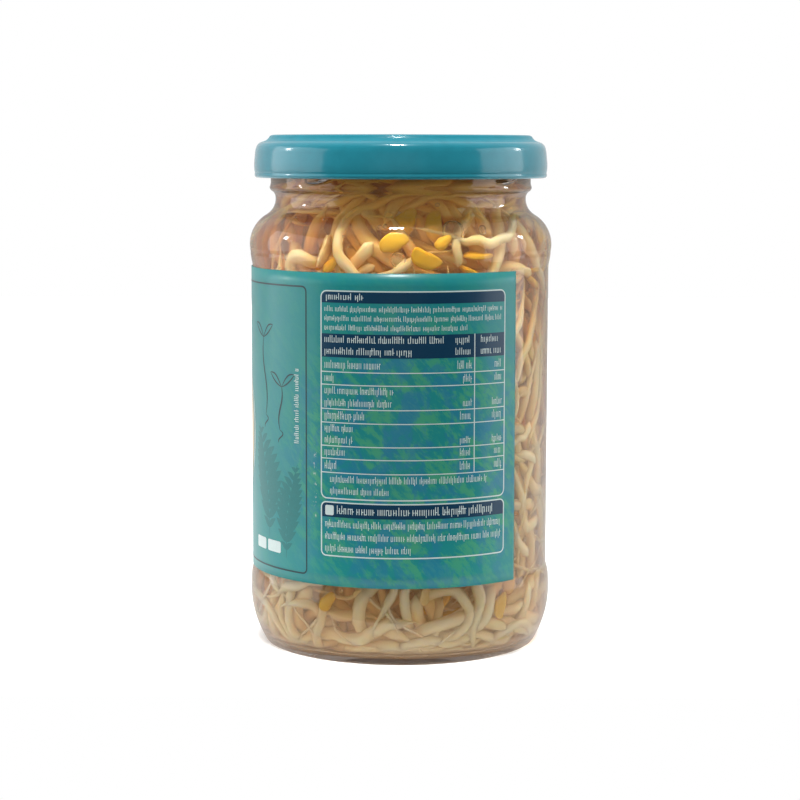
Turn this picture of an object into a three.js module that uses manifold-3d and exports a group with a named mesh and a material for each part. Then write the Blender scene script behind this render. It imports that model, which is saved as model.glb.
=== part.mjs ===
// A round food jar with a twist-off lid, packed with mung bean sprouts in brine.
// Millimetres, +Z up, origin on the resting surface in the middle of the jar.
// Angles run from -Y, the side shown in the picture, towards +X.
import * as THREE from "three";
import { mergeVertices } from "three/addons/utils/BufferGeometryUtils.js";
import Module from "manifold-3d";

const wasm = await Module();
wasm.setup();

const RAD = Math.PI / 180;
const FACETS = 36; // round pieces share these facets, so their gaps stay even
const FACET = 360 / FACETS;
const GAP = 0.3; // between pieces that touch
const TIDY = 0.05; // slivers narrower than this are merged where sprouts are fused

// Glass jar, from the resting surface up
const PANEL_R = 35.05; // the recess that the label lies in
const PANEL_LOW_Z = 18;
const PANEL_HIGH_Z = 90.2;
const HEEL_R = 35.93;
const HEEL_Z = 12.8;
const HEEL_BEND = 24;
const BEAD_R = 35.83;
const BEAD_Z = 94.9;
const SHOULDER_BEND = 8.05;
const SHOULDER_TURN = 60; // degrees, where the shoulder turns into the neck
const NECK_R = 29.65;
const NECK_Z = 105.6;
const NECK_BEND = 4.3;
const SHOULDER = [BEAD_R - SHOULDER_BEND, BEAD_Z]; // middle of the shoulder's bend
const NECK = [NECK_R + NECK_BEND, NECK_Z]; // middle of the neck's bend
const RING_INNER_R = 28.4; // flat ring that the jar stands on
const RING_OUTER_R = 31.2;
const PUSH_UP = 3; // hollow under the base
const FINISH_R = 30.8; // plain cylinder under the screw ridges
const FINISH_LOW_Z = 109.1;
const RIM_Z = 118.95;
const MOUTH_R = 27.7;

// Space inside the glass
const WALL = 2.5; // at the shoulder and neck
const INSIDE_R = BEAD_R - WALL;
const FLOOR_Z = 2; // where the floor is lowest, all round at FLOOR_R
const FLOOR_DOME = 3.2; // how far it rises to the middle
const INNER_HEEL_BEND = 6.5;
const FLOOR_R = INSIDE_R - INNER_HEEL_BEND;

// Screw ridges on the glass and lugs in the lid
const STARTS = 4;
const FIRST_LUG = 70; // degrees
const LEAD = 8; // rise for a full turn
const LUG_HALF = 7; // degrees
const LUG_INNER_R = 31.3;
const LUG_LOW_Z = 110.65;
const LUG_HIGH_Z = 111.95;
const RIDGE_R = 32.45;
const RIDGE_H = 1.4;
const RIDGE_UNDER_Z = 112.4; // over the middle of a closed lug
const RIDGE_START = -8; // degrees from that lug
const RIDGE_END = 45;
const STOP_START = -25; // the low rounded end that stops a lug from turning too far
const STOP_R = 32.1;
const STOP_UNDER_Z = 109.4;
const STOP_H = 1.7;

// Lid and its seal
const LID_TOP_Z = 120.55;
const LID_R = 34.7;
const LID_LOW_Z = 110.5;
const SHEET = 0.4;
const SEAL_INNER_R = 27.9;
const SEAL_OUTER_R = 30.6;

// Label
const LABEL_R = 35.5;
const LABEL_THICK = 0.15;
const LABEL_LOW_Z = 18.4;
const LABEL_HIGH_Z = 89.8;
const LABEL_START = -250; // degrees
const LABEL_END = 48;

// Brine and sprouts
const BRINE_Z = 111.5; // a usual 370 ml fill
const BRINE_WALL = 0.6; // between the glass and the hole that the sprouts fill
const SPROUT_INSET = BRINE_WALL + 2 * GAP + 0.45; // from the glass; clears the facets too
const NECK_SPARE = 0.8; // more room in the neck, where a stem cuts the corner between its points
const CORE_DEPTH = 1.9; // from the reach of the sprouts in to the packed core
const CORE_TOP_Z = 107.4;
const PACKED = 46;
const PACKED_LOW_Z = 4.4;
const PACKED_HIGH_Z = 104.5;
const RISERS = 7; // sprouts that reach up to the top of the brine
const LOOSE = 2; // sprouts that lie on top
const MOST_DROPS = 60; // steps in which one is let down
const STEM_SIDES = 5;
const STEM_STEPS = 6;
const ROOT_R = 0.4;
const HEAD_LENGTH = 3.6;
const GOLDEN_ANGLE = 137.508;

const paint = (color, more) => new THREE.MeshStandardMaterial({ color, ...more });

const MATERIALS = {
  glass: paint(0xdfe6e0, { roughness: 0.03, transparent: true, opacity: 0.3 }),
  lid: paint(0x2a8fa6, { roughness: 0.22, metalness: 0.1 }),
  seal: paint(0xd9d2bd, { roughness: 0.6 }),
  label: paint(0x3d9aa3, { roughness: 0.35 }),
  brine: paint(0xd8b98a, { roughness: 0.05, transparent: true, opacity: 0.4 }),
  sprouts: paint(0xdcc79a, { roughness: 0.45 }),
};

// A repeatable draw of numbers from 0 to 1.
function randomFrom(seed) {
  let state = seed;
  return () => {
    state = (state + 0x6d2b79f5) | 0;
    let t = Math.imul(state ^ (state >>> 15), 1 | state);
    t = (t + Math.imul(t ^ (t >>> 7), 61 | t)) ^ t;
    return ((t ^ (t >>> 14)) >>> 0) / 4294967296;
  };
}

const between = (random, low, high) => low + (high - low) * random();

// Points of an arc in a profile, each [radius, height].
function arc(centre, bend, from, to, steps) {
  const points = [];
  for (let i = 0; i <= steps; i++) {
    const a = (from + ((to - from) * i) / steps) * RAD;
    points.push([centre[0] + bend * Math.cos(a), centre[1] + bend * Math.sin(a)]);
  }
  return points;
}

// A geometry as a solid that can be joined and cut.
function solidOf(geometry) {
  const plain = geometry.clone();
  plain.deleteAttribute("normal");
  plain.deleteAttribute("uv");
  const merged = mergeVertices(plain, 1e-4);
  const index = merged.index.array;
  const kept = [];
  for (let i = 0; i < index.length; i += 3) {
    const [a, b, c] = [index[i], index[i + 1], index[i + 2]];
    if (a !== b && b !== c && a !== c) kept.push(a, b, c);
  }
  return new wasm.Manifold(
    new wasm.Mesh({
      numProp: 3,
      vertProperties: new Float32Array(merged.attributes.position.array),
      triVerts: new Uint32Array(kept),
    }),
  );
}

// The outer skin of the biggest body, so that pockets between fused sprouts are filled.
function filled(solid) {
  const skins = solid.decompose();
  return skins.reduce((big, one) => (one.volume() > big.volume() ? one : big));
}

function geometryOf(solid) {
  const mesh = solid.getMesh();
  const geometry = new THREE.BufferGeometry();
  geometry.setAttribute("position", new THREE.BufferAttribute(mesh.vertProperties, 3));
  geometry.setIndex(new THREE.BufferAttribute(mesh.triVerts, 1));
  geometry.computeVertexNormals();
  return geometry;
}

function piece(name, solid, material) {
  const mesh = new THREE.Mesh(geometryOf(solid), material);
  mesh.name = name;
  return mesh;
}

// A profile turned about the jar's axis. It runs from the underside outwards and up.
function turned(profile) {
  const points = profile.map(([r, z]) => new THREE.Vector2(r, z));
  const geometry = new THREE.LatheGeometry(points, FACETS);
  return solidOf(geometry.rotateX(Math.PI / 2));
}

// A section swept about the axis. sectionAt gives its corners at each angle, as [radius, height].
function swept(angles, sectionAt) {
  const sections = angles.map(sectionAt);
  const sides = sections[0].length;
  const positions = [];
  sections.forEach((section, i) => {
    const a = angles[i] * RAD;
    for (const [r, z] of section) positions.push(r * Math.sin(a), -r * Math.cos(a), z);
  });
  const index = [];
  for (let i = 0; i < angles.length - 1; i++)
    for (let j = 0; j < sides; j++) {
      const k = (j + 1) % sides;
      const [a, b] = [i * sides + j, (i + 1) * sides + j];
      const [c, d] = [(i + 1) * sides + k, i * sides + k];
      index.push(a, b, d, c, d, b);
    }
  const last = (angles.length - 1) * sides;
  for (let j = 1; j < sides - 1; j++) {
    index.push(0, j, j + 1);
    index.push(last, last + j + 1, last + j);
  }
  const geometry = new THREE.BufferGeometry();
  geometry.setAttribute("position", new THREE.Float32BufferAttribute(positions, 3));
  geometry.setIndex(index);
  return solidOf(geometry);
}

function anglesFrom(start, end, steps) {
  return Array.from({ length: steps + 1 }, (_, i) => start + ((end - start) * i) / steps);
}

// The domed floor from its middle outwards, moved up by lift.
function domedFloor(lift) {
  return [0, 0.3, 0.7].map((share) => {
    const rise = Math.cos((share * Math.PI) / 2) ** 2;
    return [share * FLOOR_R, FLOOR_Z + FLOOR_DOME * rise + lift];
  });
}

// The wall inside the glass, moved in by inset, from the floor's middle up to topZ.
function insideWall(inset, topZ) {
  const heel = [FLOOR_R, FLOOR_Z + INNER_HEEL_BEND];
  const deep = WALL + inset;
  return [
    ...domedFloor(inset),
    ...arc(heel, INNER_HEEL_BEND - inset, -90, 0, 3),
    ...arc(SHOULDER, SHOULDER_BEND - deep, 0, SHOULDER_TURN, 2),
    ...arc(NECK, NECK_BEND + deep, 180 + SHOULDER_TURN, 188, 2).slice(1),
    [NECK_R - deep, topZ],
  ];
}

function outsideWall() {
  return [
    [0, PUSH_UP],
    [14, 0.75 * PUSH_UP],
    [24, 0.2 * PUSH_UP],
    [RING_INNER_R, 0],
    [RING_OUTER_R, 0],
    ...arc([HEEL_R - HEEL_BEND, HEEL_Z], HEEL_BEND, -29.7, 4, 5),
    [PANEL_R, PANEL_LOW_Z],
    [PANEL_R, PANEL_HIGH_Z],
    ...arc(SHOULDER, SHOULDER_BEND, -12, SHOULDER_TURN, 5),
    ...arc(NECK, NECK_BEND, 180 + SHOULDER_TURN, 180, 3).slice(1),
    [29.8, 106.7],
    [30.9, 107.6],
    [31.05, 108.1],
    [FINISH_R, FINISH_LOW_Z],
    [FINISH_R, RIM_Z - 0.9],
    [29.9, RIM_Z],
    [28.3, RIM_Z],
    [MOUTH_R, RIM_Z - 0.7],
  ];
}

// One screw ridge. Its low end dips under the lid and ends in a stop.
function ridge(middle) {
  const rise = (a) => (LEAD * a) / 360;
  const thread = swept(
    anglesFrom(RIDGE_START, RIDGE_END, 8).map((a) => middle + a),
    (angle) => {
      const under = RIDGE_UNDER_Z + rise(angle - middle);
      const taper = THREE.MathUtils.smoothstep(middle + RIDGE_END - angle, 0, 8);
      const crest = THREE.MathUtils.lerp(FINISH_R + 0.3, RIDGE_R, taper);
      return [
        [FINISH_R - 0.6, under - 0.1],
        [crest, under],
        [crest, under + 0.7 * RIDGE_H],
        [FINISH_R - 0.6, under + RIDGE_H],
      ];
    },
  );
  const stop = swept(
    anglesFrom(STOP_START, RIDGE_START - 0.6, 5).map((a) => middle + a),
    (angle) => {
      const share = (angle - middle - STOP_START) / (RIDGE_START - 0.6 - STOP_START);
      const swell = Math.sin(Math.PI * Math.min(1, 0.16 + 0.6 * share));
      const lift = 2.6 * Math.max(0, share - 0.45) ** 1.4;
      const crest = THREE.MathUtils.lerp(FINISH_R + 0.2, STOP_R, swell);
      const middleZ = STOP_UNDER_Z + STOP_H / 2 + lift;
      return [
        [FINISH_R - 0.6, middleZ - (STOP_H / 2) * swell],
        [crest, middleZ - (STOP_H / 2) * 0.6 * swell],
        [crest, middleZ + (STOP_H / 2) * 0.6 * swell],
        [FINISH_R - 0.6, middleZ + (STOP_H / 2) * swell],
      ];
    },
  );
  return wasm.Manifold.union([thread, stop]);
}

function lugMiddles() {
  return Array.from({ length: STARTS }, (_, i) => FIRST_LUG + (i * 360) / STARTS);
}

function jar() {
  const inside = insideWall(0, RIM_Z - 1.4).reverse();
  const glass = turned([...outsideWall(), ...inside]);
  return wasm.Manifold.union([glass, ...lugMiddles().map(ridge)]);
}

function lidShell() {
  const underside = [
    [0, 119.7],
    [7.5, 119.45],
    [9.5, 119.15],
    [25.4, 119.15],
    [26.8, 119.9],
    [27.6, LID_TOP_Z - SHEET],
    [30.5, LID_TOP_Z - SHEET],
    [31.2, 119.5],
    [32.2, 118.6],
    [33.3, 118.2],
    [34, 117.2],
    [LID_R - SHEET, 113.6],
    [LID_R - SHEET, 112.4],
    [33.6, 112.2],
    [33, 111.6],
    [33.1, 110.9],
  ];
  const outside = [
    [33.6, LID_LOW_Z],
    [34.2, LID_LOW_Z],
    [34.6, 111],
    [LID_R, 111.7],
    [LID_R, 113.8],
    [34.45, 117.3],
    [34, 118.3],
    [33.2, 118.75],
    [32.3, 119],
    [31.7, 119.5],
    [31.1, 120.25],
    [30.3, LID_TOP_Z],
    [28, LID_TOP_Z],
    [27, 120.35],
    [26, 119.6],
    [9.8, 119.55],
    [7.8, 119.85],
    [0, 120.15],
  ];
  const lugs = lugMiddles().map((middle) =>
    swept(anglesFrom(middle - LUG_HALF, middle + LUG_HALF, 4), () => [
      [LUG_INNER_R, LUG_LOW_Z + 0.2],
      [33.7, LUG_LOW_Z],
      [33.7, LUG_HIGH_Z],
      [LUG_INNER_R, LUG_HIGH_Z],
    ]),
  );
  return wasm.Manifold.union([turned([...underside, ...outside]), ...lugs]);
}

function seal() {
  const low = RIM_Z + 0.25;
  const high = LID_TOP_Z - SHEET - 0.25;
  return turned([
    [SEAL_INNER_R, low],
    [SEAL_OUTER_R - 0.3, low],
    [SEAL_OUTER_R, (low + high) / 2],
    [SEAL_OUTER_R - 0.3, high],
    [SEAL_INNER_R, high],
    [SEAL_INNER_R, low],
  ]);
}

function label() {
  const angles = [];
  for (let a = LABEL_START; a < LABEL_END; a += FACET) angles.push(a);
  return swept([...angles, LABEL_END], () => [
    [LABEL_R - LABEL_THICK, LABEL_LOW_Z],
    [LABEL_R, LABEL_LOW_Z],
    [LABEL_R, LABEL_HIGH_Z],
    [LABEL_R - LABEL_THICK, LABEL_HIGH_Z],
  ]);
}

// The brine lines the glass and has one plain hole, which the sprouts stand in.
function brine() {
  const hole = insideWall(GAP + BRINE_WALL, BRINE_Z).reverse();
  return turned([...insideWall(GAP, BRINE_Z), ...hole]);
}

// How far out from the axis a sprout may reach at height z.
function reachAt(z) {
  const deep = WALL + SPROUT_INSET;
  const across = (bend, up) => Math.sqrt(Math.max(0, bend ** 2 - up ** 2));
  const heelTop = FLOOR_Z + INNER_HEEL_BEND;
  if (z < heelTop) return FLOOR_R + across(INNER_HEEL_BEND - SPROUT_INSET, heelTop - z);
  if (z < BEAD_Z) return INSIDE_R - SPROUT_INSET;
  const turn = Math.sin(SHOULDER_TURN * RAD);
  if (z < BEAD_Z + (SHOULDER_BEND - deep) * turn)
    return SHOULDER[0] + across(SHOULDER_BEND - deep, z - BEAD_Z);
  const below = THREE.MathUtils.clamp(NECK_Z - z, 0, (NECK_BEND + deep) * turn);
  return NECK[0] - across(NECK_BEND + deep, below) - NECK_SPARE;
}

// The packed middle that the outer sprouts stand out of.
function core() {
  const heights = [4.2, 5.5, 8.5, 18, 90, 96, 98, 100.5, 103, CORE_TOP_Z - 1.6];
  return turned([
    ...domedFloor(SPROUT_INSET),
    ...heights.map((z) => [reachAt(z) - CORE_DEPTH, z]),
    [0, CORE_TOP_Z],
  ]);
}

// A stem that narrows to a root at its start.
function stem(path, thick) {
  const curve = new THREE.CatmullRomCurve3(path);
  const frames = curve.computeFrenetFrames(STEM_STEPS);
  const positions = [];
  for (let i = 0; i <= STEM_STEPS; i++) {
    const share = i / STEM_STEPS;
    const radius = THREE.MathUtils.lerp(ROOT_R, thick, Math.min(1, share / 0.4) ** 0.8);
    const at = curve.getPointAt(share);
    for (let j = 0; j < STEM_SIDES; j++) {
      const turn = (2 * Math.PI * j) / STEM_SIDES;
      const corner = at.clone();
      corner.addScaledVector(frames.normals[i], radius * Math.cos(turn));
      corner.addScaledVector(frames.binormals[i], radius * Math.sin(turn));
      positions.push(...corner.toArray());
    }
  }
  const index = [];
  for (let i = 0; i < STEM_STEPS; i++)
    for (let j = 0; j < STEM_SIDES; j++) {
      const k = (j + 1) % STEM_SIDES;
      const [a, b] = [i * STEM_SIDES + j, i * STEM_SIDES + k];
      const [c, d] = [(i + 1) * STEM_SIDES + k, (i + 1) * STEM_SIDES + j];
      index.push(a, b, c, a, c, d);
    }
  const last = STEM_STEPS * STEM_SIDES;
  for (let j = 1; j < STEM_SIDES - 1; j++) {
    index.push(0, j + 1, j);
    index.push(last, last + j, last + j + 1);
  }
  const geometry = new THREE.BufferGeometry();
  geometry.setAttribute("position", new THREE.Float32BufferAttribute(positions, 3));
  geometry.setIndex(index);
  return { solid: solidOf(geometry), tip: curve.getPointAt(1), along: curve.getTangentAt(1) };
}

// The two seed halves at the end of a stem, opened a little.
function seedHalves(tip, along, side) {
  return [-1, 1].map((way) => {
    const half = new THREE.SphereGeometry(1, 6, 4);
    half.scale(1.5, HEAD_LENGTH, 1.9);
    const forwards = along.clone().addScaledVector(side, 0.28 * way).normalize();
    const across = side.clone().addScaledVector(along, -0.28 * way).normalize();
    const facing = across.clone().cross(forwards);
    const at = tip.clone().addScaledVector(along, 0.55 * HEAD_LENGTH);
    at.addScaledVector(side, 1.1 * way);
    const placed = new THREE.Matrix4().makeBasis(across, forwards, facing);
    return solidOf(half.applyMatrix4(placed.setPosition(at)));
  });
}

function sprout(path, thick, headed) {
  const made = stem(path, thick);
  if (!headed) return made.solid;
  const outwards = new THREE.Vector3(made.tip.x, made.tip.y, 0).normalize();
  const side = made.along.clone().cross(outwards).normalize();
  return wasm.Manifold.union([made.solid, ...seedHalves(made.tip, made.along, side)]);
}

// A sprout that lies against the glass: it climbs or dips as it goes round, and its ends turn in.
function packedSprout(k, random) {
  const thick = between(random, 1.15, 1.55);
  const length = between(random, 38, 60);
  const slope = between(random, -75, 75) * RAD;
  const bow = between(random, -60, 60) * RAD;
  const headed = random() < 0.4;
  const middleZ = PACKED_LOW_Z + ((PACKED_HIGH_Z - PACKED_LOW_Z) * (k + 0.5)) / PACKED;
  const steps = 6;
  const reach = headed ? 2.3 : thick;
  const path = [];
  let angle = k * GOLDEN_ANGLE * RAD - (length * Math.cos(slope)) / 60;
  let z = middleZ - (length * Math.sin(slope)) / 2;
  for (let i = 0; i <= steps; i++) {
    const share = i / steps;
    const held = THREE.MathUtils.clamp(z, PACKED_LOW_Z + thick, PACKED_HIGH_Z);
    const dip = 3.2 * Math.abs(2 * share - 1) ** 5;
    const out = reachAt(held) - (share > 0.7 ? reach : thick);
    const r = out - dip * (headed && share > 0.5 ? 0.35 : 1);
    path.push(new THREE.Vector3(r * Math.sin(angle), -r * Math.cos(angle), held));
    const heading = slope + bow * (share - 0.5);
    angle += (length / steps / 30) * Math.cos(heading);
    z += (length / steps) * Math.sin(heading);
  }
  return sprout(path, thick, headed);
}

// A sprout that stands in the packed middle and bends over near the top of the brine.
function riser(k, random) {
  const angle = (k * 360 * RAD) / RISERS + between(random, -0.3, 0.3);
  const turn = between(random, 0.5, 1.1);
  const path = [
    [13, 0, 101],
    [19, 0.1 * turn, 105.5],
    [22, 0.4 * turn, 108.6],
    [20.5, 0.9 * turn, between(random, 110, 112)],
    [16, 1.5 * turn, between(random, 108, 110)],
  ].map(([r, a, z]) => {
    const at = angle + a;
    return new THREE.Vector3(r * Math.sin(at), -r * Math.cos(at), z);
  });
  return sprout(path, between(random, 1.1, 1.4), k % 2 === 0);
}

function packedSprouts() {
  const random = randomFrom(11);
  const parts = [core()];
  for (let k = 0; k < PACKED; k++) parts.push(packedSprout(k, random));
  for (let k = 0; k < RISERS; k++) parts.push(riser(k, random));
  const hole = turned([...insideWall(BRINE_WALL + 2 * GAP, RIM_Z - 2), [0, RIM_Z - 2]]);
  return filled(wasm.Manifold.union(parts)).simplify(TIDY).intersect(hole);
}

// Whole sprouts on top, each let down until it is a gap clear of what lies under it.
function looseSprouts(packed) {
  const random = randomFrom(29);
  const under = [packed];
  for (let k = 0; k < LOOSE; k++) {
    const angle = (k * 360 * RAD) / LOOSE;
    const bow = between(random, 5, 9);
    const off = between(random, 4, 11);
    const path = [-18, -9, 0, 9, 17].map((x) => {
      const y = off + bow * (1 - (x / 18) ** 2) - 0.5 * bow;
      const up = 0.6 * Math.sin(0.2 * x + k);
      const flat = new THREE.Vector3(x, y, 116.4 + up);
      return flat.applyAxisAngle(new THREE.Vector3(0, 0, 1), angle);
    });
    let lying = sprout(path, between(random, 1.1, 1.4), k === 0);
    for (let drop = 0; drop < MOST_DROPS; drop++) {
      const clear = Math.min(...under.map((other) => lying.minGap(other, 14)));
      if (clear < GAP + 0.02) break;
      lying = lying.translate([0, 0, GAP - clear]);
    }
    under.push(lying);
  }
  return under.slice(1);
}

const packed = packedSprouts();
const group = new THREE.Group();
group.add(
  piece("jar", jar(), MATERIALS.glass),
  piece("lid", lidShell(), MATERIALS.lid),
  piece("lid_seal", seal(), MATERIALS.seal),
  piece("label", label(), MATERIALS.label),
  piece("brine", brine(), MATERIALS.brine),
  piece("packed_sprouts", packed, MATERIALS.sprouts),
);
looseSprouts(packed).forEach((one, i) => {
  group.add(piece(`loose_sprout_${i + 1}`, one, MATERIALS.sprouts));
});

export default group;
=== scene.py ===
"""Dresses a packed jar of bean sprouts: clear glass, lacquered lid, printed label and brine.

Lengths in the tables and formulas below are millimetres in the frame's axes. Angles round the jar
run from -Y, the side that the camera looks at, towards +X.
"""

import math

import bmesh
import bpy
import numpy as np
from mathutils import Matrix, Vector, kdtree


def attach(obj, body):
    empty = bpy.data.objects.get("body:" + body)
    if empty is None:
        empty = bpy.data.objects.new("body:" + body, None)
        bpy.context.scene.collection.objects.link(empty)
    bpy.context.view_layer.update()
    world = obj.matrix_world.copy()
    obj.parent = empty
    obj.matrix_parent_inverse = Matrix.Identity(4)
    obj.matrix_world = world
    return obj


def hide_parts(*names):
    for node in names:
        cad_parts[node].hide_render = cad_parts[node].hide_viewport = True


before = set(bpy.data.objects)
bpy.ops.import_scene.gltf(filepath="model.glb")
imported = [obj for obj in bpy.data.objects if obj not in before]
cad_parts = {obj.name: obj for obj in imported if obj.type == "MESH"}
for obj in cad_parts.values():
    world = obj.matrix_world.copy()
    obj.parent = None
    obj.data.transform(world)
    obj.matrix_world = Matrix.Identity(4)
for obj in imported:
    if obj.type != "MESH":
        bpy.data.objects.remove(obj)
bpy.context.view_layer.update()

bl_info = {
    "name": "Jar of bean sprouts",
    "version": (1, 0, 0),
    "blender": (4, 5, 0),
    "location": "3D View > Sidebar > Jar",
    "description": "Builds the visible pieces of a jar of bean sprouts round its solid model",
    "category": "Object",
}

MM = 0.001
IMAGE = 800  # pixels across the picture
TAU = 2 * math.pi


def length(name, millimetres, description):
    """A length setting, given in millimetres."""
    return bpy.props.FloatProperty(
        name=name,
        default=millimetres * MM,
        description=description,
        subtype="DISTANCE",
        unit="LENGTH",
        precision=5,
    )


def degrees(name, value, description):
    return bpy.props.FloatProperty(
        name=name,
        default=math.radians(value),
        description=description,
        subtype="ANGLE",
        unit="ROTATION",
    )


def count(name, value, description):
    return bpy.props.IntProperty(name=name, default=value, min=0, description=description)


def colour(name, value, description):
    return bpy.props.FloatVectorProperty(
        name=name, default=value, size=3, subtype="COLOR", min=0, max=1, description=description
    )


class JarSettings(bpy.types.PropertyGroup):
    """Driving dimensions of the glass."""

    panel_r: length("Panel radius", 35.15, "Recess that the label lies in")
    heel_r: length("Heel radius", 35.88, "Widest part near the base")
    bead_r: length("Bead radius", 35.8, "Widest part under the shoulder")
    neck_r: length("Neck radius", 29.65, "Narrowest part of the neck")
    finish_r: length("Finish radius", 30.8, "Plain cylinder under the screw ridges")
    rim_z: length("Rim height", 118.95, "Top of the glass")
    inside_r: length("Inside radius", 33.0, "Space inside the glass")
    lead: length("Lead", 8, "Rise of a screw ridge in a full turn")
    first_lug: degrees("First lug", 70, "Middle of the first lug of the closed lid")
    segments: count("Segments", 240, "Facets round the glass")


class LidSettings(bpy.types.PropertyGroup):
    """Driving dimensions of the lid."""

    radius: length("Lid radius", 34.68, "Outside of the skirt")
    top_z: length("Top", 120.54, "Height of the raised ring")
    low_z: length("Lower edge", 110.55, "Underside of the curled edge")
    segments: count("Segments", 192, "Facets round the lid")
    lacquer: colour("Lacquer", (0.024, 0.31, 0.405), "Colour of the lid")


class LabelSettings(bpy.types.PropertyGroup):
    """Driving dimensions and colours of the paper label."""

    radius: length("Label radius", 35.46, "Printed face of the label")
    thick: length("Thickness", 0.12, "Paper thickness")
    low_z: length("Lower edge", 18.5, "Lower edge of the label")
    high_z: length("Upper edge", 89.75, "Upper edge of the label")
    start: degrees("Start", -249.8, "Left-hand edge, behind the jar")
    end: degrees("End", 47.8, "Right-hand edge")
    ground: colour("Ground", (0.012, 0.3, 0.3), "Main colour of the print")
    green: colour("Green", (0.07, 0.43, 0.23), "Green patches in the print")
    blue: colour("Blue", (0.025, 0.23, 0.44), "Blue patches in the print")
    header: colour("Header", (0.0004, 0.05, 0.115), "Bars above the table")
    line: colour("Line", (0.003, 0.05, 0.06), "Thin drawn lines")
    pale: colour("Pale", (0.78, 0.92, 0.9), "Rules, outlines and words")
    cream: colour("Cream", (0.82, 0.68, 0.46), "Round picture on the front")


class SproutSettings(bpy.types.PropertyGroup):
    """How the jar is filled."""

    amount: count("Sprouts", 520, "Sprouts in the part that shows")
    beads: count("Beads", 19, "Points along a sprout while they settle")
    settling: count("Settling", 110, "Steps in which sprouts push each other apart")
    halves: count("Seed halves", 80, "Loose seed halves")
    stem: length("Stem radius", 1.2, "Middle radius of a stem")
    longest: length("Longest", 62, "Length of the longest sprout")
    shortest: length("Shortest", 34, "Length of the shortest sprout")
    core_r: length("Core radius", 23.5, "Packed middle that hardly shows")


class BrineSettings(bpy.types.PropertyGroup):
    """The liquid."""

    top_z: length("Level", 111.4, "Height of the liquid")
    bubbles: count("Bubbles", 70, "Small bubbles against the glass")


class StageSettings(bpy.types.PropertyGroup):
    """Camera and light, from the photograph's perspective."""

    distance: length("Distance", 518.7, "Camera from the jar's axis")
    height: length("Height", 117.35, "Camera above the resting surface")
    aside: length("Aside", -0.19, "Camera to the right of the jar's axis")
    pitch: degrees("Pitch", 6.59, "How far the camera looks down")
    roll: degrees("Roll", -0.12, "How far the picture leans")
    focal_px: bpy.props.FloatProperty(
        name="Focal length", default=2175.6, description="Focal length in pixels"
    )
    lamps: bpy.props.FloatProperty(name="Lamps", default=1.0, description="Strength of the lamps")
    front: bpy.props.FloatProperty(
        name="Front", default=0.06, description="Brightness of the room behind the camera"
    )


class Value:
    """A number or colour in a node tree that can be used in arithmetic."""

    def __init__(self, tree, socket):
        self.tree = tree
        self.socket = socket

    def math(self, operation, *others):
        node = self.tree.nodes.new("ShaderNodeMath")
        node.operation = operation
        for entry, value in zip(node.inputs, (self, *others)):
            feed(self.tree, entry, value)
        return Value(self.tree, node.outputs[0])

    def __add__(self, other):
        return self.math("ADD", other)

    def __sub__(self, other):
        return self.math("SUBTRACT", other)

    def __mul__(self, other):
        return self.math("MULTIPLY", other)

    def __truediv__(self, other):
        return self.math("DIVIDE", other)

    def __pow__(self, other):
        return self.math("POWER", other)

    def __gt__(self, other):
        return self.math("GREATER_THAN", other)

    def __lt__(self, other):
        return self.math("LESS_THAN", other)

    def __neg__(self):
        return self * -1

    def __radd__(self, other):
        return self + other

    def __rmul__(self, other):
        return self * other

    def __rsub__(self, other):
        return -self + other

    def most(self, other):
        return self.math("MAXIMUM", other)

    def size(self):
        return self.math("ABSOLUTE")

    def smooth(self, low, high):
        """0 below low, 1 above high and an eased step between them. High may be the lower one."""
        node = self.tree.nodes.new("ShaderNodeMapRange")
        node.interpolation_type = "SMOOTHSTEP"
        flip = low > high
        feed(self.tree, node.inputs["Value"], self)
        node.inputs["From Min"].default_value = min(low, high)
        node.inputs["From Max"].default_value = max(low, high)
        node.inputs["To Min"].default_value = 1.0 if flip else 0.0
        node.inputs["To Max"].default_value = 0.0 if flip else 1.0
        return Value(self.tree, node.outputs["Result"])


def feed(tree, entry, value):
    """Links a Value or a socket to an input, or sets the input to a plain number or colour."""
    if isinstance(value, Value):
        value = value.socket
    if isinstance(value, bpy.types.NodeSocket):
        tree.links.new(value, entry)
    elif isinstance(value, (tuple, list)) and entry.type == "RGBA":
        entry.default_value = (*value[:3], 1.0)
    else:
        entry.default_value = value


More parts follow.
